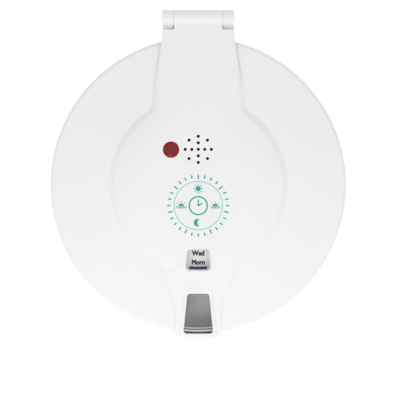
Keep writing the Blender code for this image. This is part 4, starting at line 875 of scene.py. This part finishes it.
def make_clock_print():
    """Printed roundel: a tick for each of the 28 doses, a clock, and signs for times of day.

    A tick is a bar on a ray. The signs, sun, rising sun, setting sun and moon, are discs and
    half discs with bars on rays; the moon is what an offset circle leaves of a disc.
    """
    signs = []
    for k in range(POCKETS):
        near = 0.885 if k % DOSES else 0.84
        tick = box_outline((near * PRINT_R, PRINT_R), (-0.45, 0.45), 0.44, 4)
        signs.append([placed(tick, 0.0, 0.0, math.tau * k / POCKETS + math.pi / 2)])
    signs.append([circle(6.2, steps=64), circle(5.3, steps=64)])
    for length, half, turn in ((3.9, 0.38, math.pi / 2), (2.9, 0.42, math.pi / 6)):
        signs.append([placed(box_outline((-0.4, length), (-half, half), 0.3, 3), 0, 0, turn)])
    signs.append([circle(1.7, (0.0, SIGN_REACH), 28)])
    signs += [[placed(box_outline((2.25, 3.2), (-0.28, 0.28)), 0.0, SIGN_REACH,
                      math.pi * k / 4)] for k in range(8)]
    for x, length in ((-SIGN_REACH, 3.5), (SIGN_REACH, 3.1)):
        signs += [[arc((x, -0.6), 1.9, 0.0, math.pi, 14)],
                  [box_outline((x - 3.0, x + 3.0), (-1.7, -1.1))]]
        signs += [[placed(box_outline((2.5, length), (-0.26, 0.26)), x, -0.6, math.pi * k / 4)]
                  for k in range(5)]
    moon = arc((-0.4, -SIGN_REACH), 2.5, math.radians(60), math.radians(300), 24)
    bite = arc((1.8, -SIGN_REACH), 2.364, math.radians(246.3), math.radians(113.7), 16)
    signs.append([np.concatenate([moon, bite[1:-1]])])
    ring = [[circle(0.79 * PRINT_R, steps=96), circle(0.765 * PRINT_R, steps=96)]]
    for shapes, name, ink in ((signs, "clock_signs", INK_TEAL),
                              (ring, "clock_ring", INK_TEAL_PALE)):
        flat = joined(*[fill([at_height(loop, FASCIA_TOP + PRINT_LIFT) for loop in loops])
                        for loops in shapes])
        dress(name, moved(flat, (0.0, PRINT_Y, 0.0)), ink, "lid", closed=False)


def make_window():
    """Clear pane under the window in the keyhole plate."""
    return dress("window_glass", plate(taper(*WINDOW, 2.0, 1.0), [], LID_FLAT[1],
                                       LID_FLAT[1] - 1.0, 0.1), CLEAR, "lid")


def make_lens():
    """Round alarm light, turned: a dome that falls as the fourth power of the radius.

    A bell-shaped dimple, exp of minus (s over 0.4) squared with s the share of the radius, is
    taken from the middle.
    """
    share = np.linspace(0, 1, 24)
    dome = np.column_stack([share * (LENS_R - 0.4), FASCIA_TOP + 1.2 - 0.85 * share ** 4
                            - 0.35 * np.exp(-(share / 0.4) ** 2)])
    edge = [(LENS_R - 0.15, FASCIA_TOP + 0.1), (LENS_R, FASCIA_TOP - 0.2), (LENS_R, 53.6),
            (0.0, 53.6)]
    return dress("alarm_light", moved(revolve(np.concatenate([dome, edge]), 64), (*LENS, 0.0)),
                 RED_LENS, "lid")


def make_liner():
    """Thin ring under the lid over the compartments, notched where the slot is."""
    near, far, near_half, far_half = SLOT
    side = near_half + (far_half - near_half) * (TRAY_R - near) / (far - near)
    turn = math.asin(side / TRAY_R)
    ring = arc((0.0, 0.0), TRAY_R, turn - math.pi / 2, 1.5 * math.pi - turn, RING_STEPS)
    end = ring[0, 1]
    notch = rounded([(-side, end), (-near_half, -near), (near_half, -near), (side, end)],
                    [0, 2.0, 2.0, 0])[1:-1]
    holes = [circle(RACK_R + 0.5, steps=112)] + [circle(2.5, place, 28) for place in LID_SCREWS]
    upside_down = plate(np.concatenate([ring, notch]), holes, -LINER[0], -LINER[1], 0.3)
    return dress("lid_inner_ring", moved(upside_down, scale=(1, 1, -1)), ABS_GREY, "lid")


# Base

def make_base_wall():
    """The cup's wall, turned: a straight side over a quarter circle down to the flat floor."""
    corner_z = BASE_LOW + BASE_ROUND
    outer = arc((BASE_FLAT, corner_z), BASE_ROUND, -math.pi / 2, 0.0, 14)
    inner = arc((BASE_FLAT, corner_z), BASE_ROUND - BASE_WALL, 0.0, -math.pi / 2, 10)
    rim = soft_profile([(BASE_R, corner_z + 1.0), (BASE_R, TRAY_TOP, 0.5),
                        (BASE_BORE, TRAY_TOP, 0.5), (BASE_BORE, corner_z + 3.0)])
    profile = np.concatenate([[(BASE_FLAT, BASE_LOW)], outer, rim, inner,
                              [(BASE_FLAT, BASE_LOW + BASE_WALL)]])
    return dress("base_wall", revolve(profile, closed=True), ABS_WHITE, "case")


def make_base_floor():
    """Flat underside with the door's seat, the screw sinks and rows of vent slots."""
    holes = [centred_box(BAY_HALF_X + 1.0 + 0.3, BAY_Y, BAY_HALF_Y + 1.0 + 0.3, 1.3)]
    holes += [circle(3.1, place, 32) for place in CASE_SCREWS]
    holes += [centred_box(18.0, -34.0 - 7.0 * row, 1.1, 1.09) for row in range(5)]
    upside_down = plate(circle(BASE_FLAT, steps=RING_STEPS), holes, -BASE_LOW,
                        -BASE_LOW - BASE_WALL, roll=0.0, hole_roll=0.35)
    dress("base_floor", moved(upside_down, scale=(1, 1, -1)), ABS_WHITE, "case")
    sink = revolve([(1.9, 3.5), (4.2, 3.5), (4.2, 6.0), (1.9, 6.0)], 32, closed=True)
    seats = [moved(sink, (*place, 0.0)) for place in CASE_SCREWS]
    seats.append(block(centred_box(20.0, -48.0, 18.0), 3.7, 4.4))
    dress("base_seats", joined(*seats), ABS_WHITE, "case")


def make_battery_bay():
    """Well round the cells: four walls and a ceiling."""
    near, far = BAY_Y - BAY_HALF_Y, BAY_Y + BAY_HALF_Y
    outer = box_outline((-BAY_HALF_X - BAY_WALL, BAY_HALF_X + BAY_WALL),
                        (near - BAY_WALL, far + BAY_WALL), 1.0)
    inner = box_outline((-BAY_HALF_X, BAY_HALF_X), (near, far), 0.8)
    walls = plate(outer, [inner], -3.75, -BAY_TOP[0], roll=0.2, hole_roll=0.2)
    dress("battery_bay", joined(moved(walls, scale=(1, 1, -1)), block(outer, *BAY_TOP)),
          ABS_WHITE, "case")


def make_hinge_tower():
    """Block behind the cup with two round knuckles and a lower web between them."""
    foot, back, low_back = 21.6, HINGE_REACH + BARREL_R, HINGE_Z - 12.7

    def tower(near, far, steps, line, top):
        """Bar along X from the cup's wall to the back and over a (y, z) line to its top."""
        sections = []
        for x in np.linspace(near, far, steps):
            wall = math.sqrt(JOINT_R ** 2 - x * x)
            section = np.concatenate([[(wall, foot), (BASE_R, foot), (back, low_back)], line,
                                      [(wall, top)]])
            sections.append(np.insert(section, 0, x, axis=1))
        return loft(sections)

    toe_z, toe_y = LID_LOW + 5.3, KNUCKLE_FRONT - 2.2
    knuckle = np.concatenate([[(back, HINGE_Z)],
                              arc((HINGE_REACH, HINGE_Z), BARREL_R, 0.0, math.pi, 24)[1:-1],
                              [(KNUCKLE_FRONT, HINGE_Z + 0.8), (KNUCKLE_FRONT, toe_z),
                               (toe_y, toe_z), (toe_y, TRAY_TOP)]])
    bevelled(dress("hinge_knuckles", joined(
        tower(KNUCKLE_SPLIT, HINGE_HALF, 6, knuckle, TRAY_TOP),
        tower(-HINGE_HALF, -KNUCKLE_SPLIT, 6, knuckle, TRAY_TOP)), ABS_WHITE, "case"))
    top = HINGE_Z - BARREL_R - 0.5
    dress("hinge_web", tower(-KNUCKLE_SPLIT, KNUCKLE_SPLIT, 17,
                             [(back, top - 1.2), (back - 1.2, top)], top), ABS_WHITE, "case")
    cap = soft_profile([(0.0, HINGE_HALF + 0.2), (2.4, HINGE_HALF + 0.2, 0.15),
                        (2.4, HINGE_HALF - 0.4)])
    cap = along_x(revolve(cap, 40), HINGE_REACH, HINGE_Z)
    for side, name in ((1, "right"), (-1, "left")):
        dress(f"pin_cap_{name}", moved(cap, scale=(side, 1, 1)), ABS_GREY, "case")


def nose_outline():
    """Plan of the base's nose: two round corners, back to the cup's wall."""
    side = NOSE_HALF - 0.3
    corner = arc((side - NOSE_CORNER, NOSE_CORNER - NOSE_FRONT), NOSE_CORNER, -math.pi / 2,
                 0.0, 10)
    inner = arc((0, 0), JOINT_R, math.asin(side / JOINT_R) - math.pi / 2, -math.pi / 2, 8)[:-1]
    return mirrored(np.concatenate([corner, inner]))


def make_nose():
    """Nose of the base: a lower block, two cheeks, a front wall, and the latch in its hole."""
    low, floor, half = 23.6, 33.2, POCKET_HALF
    whole = nose_outline()
    cheek = np.concatenate([[(half, -NOSE_FRONT)], whole[whole[:, 0] > half],
                            [(half, -math.sqrt(JOINT_R ** 2 - half ** 2))]])
    front = plate(box_outline((-half, half), (floor, TRAY_TOP)),
                  [centred_box(LATCH_HALF + 0.3, LATCH_Z, 2.8, 1.0)], NOSE_FRONT,
                  NOSE_REACH - 1.5, roll=0.0, hole_roll=0.3)
    parts = [plate(whole, [], floor, low, roll=0.0)]
    parts += [plate(outline, [], TRAY_TOP, floor, roll=0.25)
              for outline in (cheek, cheek[::-1] * [-1, 1])]
    dress("base_nose", joined(*parts, facing_front(front)), ABS_WHITE, "case")
    button = plate(centred_box(LATCH_HALF, LATCH_Z, 2.5, 0.9), [], NOSE_REACH - 0.1,
                   NOSE_REACH - 1.4, roll=0.35)
    flange = block(centred_box(7.5, LATCH_Z, 4.0, 0.5), NOSE_REACH - 2.5, NOSE_REACH - 1.8)
    finger = block(box_outline((-3.0, 3.0), (LATCH_Z, TRAY_TOP - 0.3), 0.5),
                   NOSE_REACH - 2.5, NOSE_REACH - 1.85)
    ribs = [block(centred_box(4.0, LATCH_Z + z, 0.25, 0.2, 2), NOSE_REACH - 0.2, NOSE_REACH)
            for z in (-1.2, 0.0, 1.2)]
    latch = facing_front(joined(button, flange, finger, *ribs))
    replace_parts(dress("latch_push", latch, ABS_DARK, "latch_button"), "latch_button")


def make_door():
    """Battery door: a bar along X whose section is round at the hinge, and five finger ribs."""
    half, radius = BAY_HALF_X + 1.0, 1.0
    near, far = BAY_Y - BAY_HALF_Y - 1.0, BAY_Y + BAY_HALF_Y + 1.0
    hinge_edge = arc((far - radius, BASE_LOW + radius), radius, -math.pi / 2, math.pi / 2, 14)
    section = np.concatenate([hinge_edge, [(near, BASE_LOW + 2 * radius), (near, BASE_LOW)]])
    leaf = loft([np.insert(section, 0, x, axis=1) for x in (-half, half)])
    ribs = [block(box_outline((k - 9.0, 9.0 - k), (BAY_Y - 24.0 + 2.2 * k,
                                                   BAY_Y - 22.9 + 2.2 * k), 0.5),
                  BASE_LOW - 0.25, BASE_LOW + 0.6) for k in range(5)]
    return bevelled(dress("battery_cover", joined(leaf, *ribs), ABS_WHITE, "battery_door"))


def make_feet():
    """Four rubber discs with a softened rim and a shallow dish below."""
    profile = soft_profile([(0.0, 0.25), (3.8, 0.25, 0.2), (4.2, 0.0, 0.1), (6.0, 0.0, 0.5),
                            (6.0, 1.5, 0.2), (0.0, 1.5)])
    disc = revolve(profile, 48)
    for number, place in enumerate(FEET, 1):
        foot = dress(f"rubber_foot_{number}", moved(disc, (*place, 0.0)), RUBBER, "case")
        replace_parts(foot, f"foot_{number}")


# Carousel

def sector(inner, outer, start, end, start_wall, end_wall, corner, steps):
    """Ring sector between two rays, its sides moved inwards in parallel, with round corners."""
    outline = []
    for radius, ahead in ((inner, 1), (outer, -1)):
        first = start + math.asin(start_wall / radius)
        last = end - math.asin(end_wall / radius)
        outline.append(arc((0, 0), radius, *((first, last)[::ahead]), steps))
    radii = np.zeros(2 * steps + 2)
    radii[[0, steps, steps + 1, 2 * steps + 1]] = corner
    return rounded(np.concatenate(outline), radii, 5)


def make_day_trays():
    """Seven lift-out trays of four pockets, each pocket with a bowled floor."""
    for day in range(len(DAYS)):
        start = -math.pi / 2 - PITCH / 2 + day * DOSES * PITCH
        outer = sector(RACK_R, TRAY_RIM, start, start + DOSES * PITCH, TRAY_GAP, TRAY_GAP, 0.8,
                       24)
        walls = [TRAY_GAP + DAY_WALL] + [DIVIDER / 2] * (DOSES - 1) + [TRAY_GAP + DAY_WALL]
        pockets = [sector(RACK_R + TRAY_WALL, TRAY_RIM - DAY_WALL, start + dose * PITCH,
                          start + (dose + 1) * PITCH, *walls[dose:dose + 2], 1.6, 8)
                   for dose in range(DOSES)]
        tray = dress(f"dose_tray_{day + 1}",
                     plate(outer, pockets, TRAY_TOP, TRAY_LOW, roll=0.35, hole_roll=0.3,
                           low_hole=TRAY_LOW + TRAY_FLOOR, fillet=1.5), ABS_TRAY, "carousel")
        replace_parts(tray, f"day_tray_{day + 1}")


def make_drum():
    """Drum that carries the label, turned, and the label as a thin printed ring."""
    shelf, tube, rim = 46.6, TRAY_BORE + TRAY_WALL, RACK_R - 0.3
    drum = revolve(soft_profile([(TRAY_BORE, TRAY_LOW), (TRAY_BORE, shelf, 0.3),
                                 (rim, shelf, 0.4), (rim, shelf - 1.4, 0.2),
                                 (tube, shelf - 1.4, 0.8), (tube, TRAY_LOW)]), 168, closed=True)
    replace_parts(dress("label_shelf", drum, ABS_WHITE, "carousel"), "label_drum")
    label = revolve([(39.4, 46.9), (39.4, 47.18), (39.42, 47.2), (56.48, 47.2), (56.5, 47.18),
                     (56.5, 46.9)], 168, closed=True)
    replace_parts(dress("dose_label", label, LABEL_PAPER, "carousel"), "label_ring")


def letters(text):
    """Plan points and faces of a line of text one unit high, from Blender's own font."""
    curve = bpy.data.curves.new("line", "FONT")
    curve.body = text
    curve.align_x, curve.align_y = "CENTER", "CENTER"
    curve.resolution_u = 3
    item = bpy.data.objects.new("line", curve)
    bpy.context.scene.collection.objects.link(item)
    bpy.context.view_layer.update()
    flat = bpy.data.meshes.new_from_object(
        item.evaluated_get(bpy.context.evaluated_depsgraph_get()))
    plan = np.empty(len(flat.vertices) * 3)
    flat.vertices.foreach_get("co", plan)
    faces = [tuple(face.vertices) for face in flat.polygons]
    bpy.data.objects.remove(item)
    bpy.data.curves.remove(curve)
    bpy.data.meshes.remove(flat)
    return plan.reshape(-1, 3)[:, :2], faces


def words(name, lines, cap, squeeze, level, body):
    """Flat dark lettering as one mesh, from lines of (text, x, y, turn) and a capital's height.

    Each line is struck eight times round a small ellipse, which makes its strokes bold.
    """
    found, parts = {}, []
    for text, x, y, turn in lines:
        if text not in found:
            found[text] = letters(text)
        plan, faces = found[text]
        plan = plan * [cap / CAP_SHARE * squeeze, cap / CAP_SHARE]
        for k, shift in enumerate(STRIKES):
            struck = placed(plan + np.array(shift) * cap / LABEL_CAP, x, y, turn)
            parts.append((at_height(struck, level + STRIKE_LIFT * k), faces))
    dress(name, joined(*parts), INK_DARK, body, closed=False)


def make_label_print():
    """Weekday and time of day for each pocket, read from the nose, over a coloured bar."""
    lines, bars = [], [[] for _ in TIMES]
    for index in range(POCKETS):
        turn = index * PITCH
        middle = -math.pi / 2 + turn
        for text, reach in ((DAYS[index // DOSES], 43.9), (TIMES[index % DOSES], 49.7)):
            lines.append((text, math.sin(turn) * reach, -math.cos(turn) * reach, turn))
        bar = sector(52.3, 54.2, middle - PITCH / 2, middle + PITCH / 2, 0.35, 0.35, 0.0, 4)
        bars[index % DOSES].append(plate(bar, [], TRAY_TOP + PRINT_LIFT, TRAY_TOP - 0.02,
                                         roll=0.0))
    words("label_words", lines, LABEL_CAP, LABEL_SQUEEZE, TRAY_TOP + PRINT_LIFT, "carousel")
    for parts, name, ink in zip(bars, TIMES, DOSE_INKS):
        dress(f"bar_{name.lower()}", joined(*parts), ink, "carousel")


def gear_outline(teeth):
    """Gear with straight-sided teeth: root, tip, tip, root at shares of the tooth pitch."""
    pitch_r = GEAR_MODULE / 2 * teeth
    radii = [pitch_r - GEAR_ROOT, pitch_r + GEAR_TIP, pitch_r + GEAR_TIP, pitch_r - GEAR_ROOT]
    shares = np.array([GEAR_BACKLASH - 0.68, GEAR_BACKLASH - 0.28, 0.28 - GEAR_BACKLASH,
                       0.68 - GEAR_BACKLASH])
    angles = (math.tau * np.arange(teeth)[:, None] / teeth + shares * math.pi / teeth).ravel()
    return np.tile(radii, teeth)[:, None] * ray(angles)


def make_turntable():
    """Plate and collar, turned; the gear ring below is a plan outline of straight teeth."""
    outer, bore = 38.4, 36.4
    profile = soft_profile([(bore, 25.0), (bore, 37.1, 0.3), (outer, 37.1, 0.3),
                            (outer, 28.55, 0.5), (TRAY_R, 28.55, 0.4), (TRAY_R, 27.1, 0.2),
                            (outer, 27.1)])
    table = revolve(np.concatenate([profile, [(outer, 25.0)]]), closed=True)
    gear = plate(gear_outline(GEAR_TEETH), [circle(37.4, steps=112)], 27.1, 24.1, roll=0.1)
    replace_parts(dress("carousel_plate", joined(table, gear), ABS_GREY, "carousel"), "turntable")


# Hub, keys and what lies inside

def make_hub():
    """Turned hub wall with its foot, and the round control panel with its cut-outs."""
    wall = soft_profile([(HUB_R, 24.0), (HUB_R, 43.8, 0.4), (34.0, 43.8, 0.3), (34.0, 26.0)])
    wall = revolve(np.concatenate([wall, [(24.0, 26.0), (24.0, 24.0)]]), 112, closed=True)
    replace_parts(dress("hub_wall", wall, ABS_WHITE, "case"), "hub_tower")
    holes = [centred_box(DISPLAY_HALF[0], DISPLAY_Y, DISPLAY_HALF[1], 1.5)]
    holes += [circle(4.2, (x, KEY_Y), 40) for x in KEY_X] + [circle(2.8, LENS, 28)]
    holes += [circle(0.9, (x, y + GRILLE_Y), 16)
              for x, y in around(3.0, range(0, 360, 72)) + [(0.0, 0.0)]]
    panel = plate(circle(HUB_R, steps=112), holes, PANEL[1], PANEL[0], 0.6, 0.25)
    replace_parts(dress("hub_panel", panel, ABS_GREY, "case"), "control_panel")


def segments(lit, x):
    """Outlines of the lit bars of a seven-bar figure at x, each with pointed ends."""
    w, h, t = 2.3, 4.3, 0.5
    places = {"a": (0, h, 0), "g": (0, 0, 0), "d": (0, -h, 0), "b": (w, h / 2, 1),
              "c": (w, -h / 2, 1), "f": (-w, h / 2, 1), "e": (-w, -h / 2, 1)}
    shapes = []
    for name in lit:
        dx, dy, upright = places[name]
        half = (h / 2 if upright else w) - 0.18
        outline = np.array([(-half, 0), (-half + t, -t), (half - t, -t), (half, 0),
                            (half - t, t), (-half + t, t)])
        if upright:
            outline = outline[:, ::-1] * [-1, 1]
        shapes.append(outline + [x + dx, DISPLAY_Y + dy])
    return shapes


def make_display():
    """Display pane, a pale screen under it, and generic segment figures for the time."""
    outline = centred_box(16.9, DISPLAY_Y, 8.4, 1.4)
    pane = plate(outline, [], PANEL[1] - 0.1, PANEL[1] - 1.2, 0.2)
    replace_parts(dress("display_pane", pane, CLEAR, "case"), "display_window")
    mask = plate(outline, [centred_box(14.6, DISPLAY_Y, 6.4, 0.8)], PANEL[1] - 1.25,
                 PANEL[1] - 1.5, 0.02)
    dress("display_mask", mask, ABS_BLACK, "case")
    dress("display_screen", plate(outline, [], SCREEN_Z, 44.2, 0.02), SCREEN, "case")
    bars = [bar for lit, x in (("abcdef", -10.2), ("abcdefg", -3.9), ("abgcd", 3.9),
                               ("abcdef", 10.2)) for bar in segments(lit, x)]
    bars += [box_outline((-0.45, 0.45), (DISPLAY_Y + y - 0.45, DISPLAY_Y + y + 0.45))
             for y in (-1.7, 1.7)]
    figures = joined(*[block(bar, SCREEN_Z, SCREEN_Z + 0.06) for bar in bars])
    dress("display_figures", figures, SCREEN_INK, "case")


def make_keys():
    """Four rubber keys, each a cap over a flange and a stem, and their printed names.

    A cap's top is a dish: its height rises as the square of the radius.
    """
    top = PANEL[1] + 0.9
    share = np.linspace(0, 1, 8)
    cap = np.column_stack([share * 3.2, top - 0.3 + 0.3 * share ** 2])
    rest = soft_profile([(3.2, top), (3.9, top, 0.35), (3.9, 43.8, 0.1), (5.0, 43.8, 0.2),
                         (5.0, 42.7, 0.2), (1.6, 42.7, 0.2), (1.6, 38.95, 0.1), (0.0, 38.95)])
    shape = revolve(np.concatenate([cap, rest]), 40)
    for name, x in zip(KEY_NAMES, KEY_X):
        key = dress(f"{name}_cap", moved(shape, (x, KEY_Y, 0.0)), RUBBER, name)
        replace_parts(key, name)
    lines = [(text, x, KEY_Y - 6.6, 0.0) for text, x in zip(("SET", "HR", "MIN", "ALM"), KEY_X)]
    words("panel_words", lines, PANEL_CAP, 1.0, PANEL[1] + 0.02, "case")


def node_box(name):
    """Corners of a plain solid in this script's millimetres."""
    return [np.array(corner) / MM - [0.0, AXIS_Y, 0.0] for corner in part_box(name)]


def make_screws():
    """Cross-head screws: a round head with a sunk cross, and a turned shank with its thread."""
    for name in sorted(node for node in frame["nodes"] if "screw" in node):
        low, high = node_box(name)
        x, y = (low[0] + high[0]) / 2, (low[1] + high[1]) / 2
        head_r = (high[0] - low[0]) / 2
        head_h, shank = (0.9, 1.1) if head_r < 2.5 else (1.5, 1.5)
        face, way = (high[2], -1.0) if name.startswith("hub") else (low[2], 1.0)
        span = high[2] - low[2]
        reach, half = head_r * 0.62, head_r * 0.12
        cross = rounded([(-half, -reach), (half, -reach), (half, -half), (reach, -half),
                         (reach, half), (half, half), (half, reach), (-half, reach),
                         (-half, half), (-reach, half), (-reach, -half), (-half, -half)],
                        0.08, 2)
        head = plate(circle(head_r, steps=32), [cross], 0.0, -head_h, roll=0.35,
                     hole_roll=0.05, low_hole=-0.6 * head_h, fillet=0.05)
        profile = [(0.0, head_h - 0.05), (shank, head_h - 0.05), (shank, head_h + 0.4)]
        for ring in np.arange(head_h + 0.7, span - 0.8, 0.5):
            profile += [(shank, ring), (shank - 0.22, ring + 0.25)]
        profile += [(shank - 0.1, span - 0.5), (0.0, span)]
        screw = joined(moved(head, scale=(1, 1, -1)), revolve(profile, 24))
        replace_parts(dress(f"{name}_fine", moved(screw, (x, y, face), (1, 1, way)), STEEL,
                          "lid" if name.startswith("lid") else "case"), name)


def make_cells():
    """Four round cells with a wrapped body, a bare rim and a small raised nub."""
    for number in (1, 2, 3, 4):
        low, high = node_box(f"battery_cell_{number}")
        half, radius = (high[0] - low[0]) / 2, (high[2] - low[2]) / 2
        profile = soft_profile([(0.0, -half), (radius - 1.2, -half, 0.1),
                                (radius, -half + 0.2, 0.5), (radius, half - 1.6, 0.5),
                                (radius - 1.6, half - 1.45, 0.2), (radius - 1.8, half - 1.6, 0.1),
                                (2.75, half - 1.55, 0.1), (2.75, half, 0.4), (0.0, half)], 3)
        shape = moved(along_x(revolve(profile, 64), 0.0, 0.0), (low + high) / 2,
                      (1.0 if number % 2 else -1.0, 1, 1))
        cell = dress(f"cell_{number}", shape, CELL_WRAP, "case")
        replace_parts(cell, f"battery_cell_{number}")


# Stage, light and camera
WORLD_LEVEL = 0.785
KEY_POWER = 0.74
FILL_POWER = 0.25
FLOOR_LIFT = 0.5
FLOOR_R = 3000.0
PICTURE_WIDTH = 256.0
PICTURE_MIDDLE = (1.1, -9.6)
LENS_LENGTH = 250.0
SENSOR_WIDTH = 36.0


def make_stage():
    """A wide plain floor; camera, glossy and transmission rays see it lifted to white."""
    material = new_material("white_floor", "#F2F2F2", 0.9, Emission_Color=(1, 1, 1, 1))
    path = add_node(material, "ShaderNodeLightPath")
    seen = path.outputs["Is Camera Ray"]
    for kind in ("Is Glossy Ray", "Is Transmission Ray"):
        seen = add_node(material, "ShaderNodeMath", [(0, seen), (1, path.outputs[kind])],
                        operation="MAXIMUM").outputs[0]
    glow = add_node(material, "ShaderNodeMath", [(0, seen)], operation="MULTIPLY")
    glow.inputs[1].default_value = FLOOR_LIFT
    feed(material, glow.outputs[0], "Emission Strength")
    floor = dress("floor", revolve([(0.0, -0.02), (FLOOR_R, -0.02)], 64), material, "case",
                  closed=False)
    floor.parent = None
    del floor["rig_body"]


def area_light(name, place, size, power):
    """A square soft lamp that faces the lid; lengths in millimetres, power in watts."""
    data = bpy.data.lights.new(name, "AREA")
    data.size = size * MM
    data.energy = power
    lamp = bpy.data.objects.new(name, data)
    lamp.location = Vector(place) * MM
    way = Vector((0.0, AXIS_Y, 40.0)) - Vector(place)
    lamp.rotation_euler = way.to_track_quat("-Z", "Y").to_euler()
    bpy.context.scene.collection.objects.link(lamp)


def light_the_scene():
    """Even white surroundings and two soft lamps, the stronger from above the nose."""
    world = bpy.data.worlds.new("soft_white")
    world.use_nodes = True
    inputs = world.node_tree.nodes["Background"].inputs
    inputs["Color"].default_value = (1, 1, 1, 1)
    inputs["Strength"].default_value = WORLD_LEVEL
    bpy.context.scene.world = world
    area_light("key_lamp", (-70.0, -370.0, 490.0), 260, KEY_POWER)
    area_light("fill_lamp", (380.0, -120.0, 700.0), 400, FILL_POWER)


def make_camera():
    """Straight down on the lid with the hinge at the top of the picture, through a long lens."""
    data = bpy.data.cameras.new("camera")
    data.lens = LENS_LENGTH
    data.sensor_width = SENSOR_WIDTH
    data.clip_start = 0.01
    camera = bpy.data.objects.new("camera", data)
    distance = PICTURE_WIDTH * data.lens / data.sensor_width
    camera.location = Vector((PICTURE_MIDDLE[0], PICTURE_MIDDLE[1] + AXIS_Y,
                              LID_FLAT[1] + distance)) * MM
    bpy.context.scene.collection.objects.link(camera)
    bpy.context.scene.camera = camera


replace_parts(make_lid_disc(), "lid_shell")
make_lid_middle()
make_beak()
make_slot_frame()
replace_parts(make_fascia(), "lid_fascia")
make_clock_print()
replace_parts(make_window(), "window_pane")
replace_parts(make_lens(), "alarm_lens")
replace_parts(make_liner(), "lid_liner")
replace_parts(make_base_wall(), "base_shell")
make_base_floor()
make_battery_bay()
make_hinge_tower()
make_nose()
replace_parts(make_door(), "battery_door")
make_feet()
make_day_trays()
make_drum()
make_label_print()
make_turntable()
make_hub()
make_display()
make_keys()
make_screws()
make_cells()

# The plain solids that stay as they are, each with the finish of its real piece: moulded deck
# and housings, woven cloth, plated pin, stamped contacts, turned shaft and brass pinion, leads
CARRIED = {"base_deck": ABS_GREY, "grille_cloth": CLOTH, "hinge_pin": STEEL,
           "contact_plate_left": STEEL, "contact_plate_right": STEEL, "main_board": BOARD,
           "display_module": ABS_BLACK, "alarm_led": RED_LENS, "buzzer": ABS_BLACK,
           "tilt_switch": ABS_DARK, "position_sensor": ABS_BLACK, "gear_motor": STEEL,
           "motor_shaft": STEEL, "motor_pinion": BRASS, "battery_lead": LEAD_RED,
           "motor_lead": LEAD_BLACK}
for name, item in frame["nodes"].items():
    item.data.materials.clear()
    item.data.materials.append(CARRIED.get(name, ABS_WHITE))

make_stage()
light_the_scene()
make_camera()
bpy.context.scene.view_settings.view_transform = "Standard"
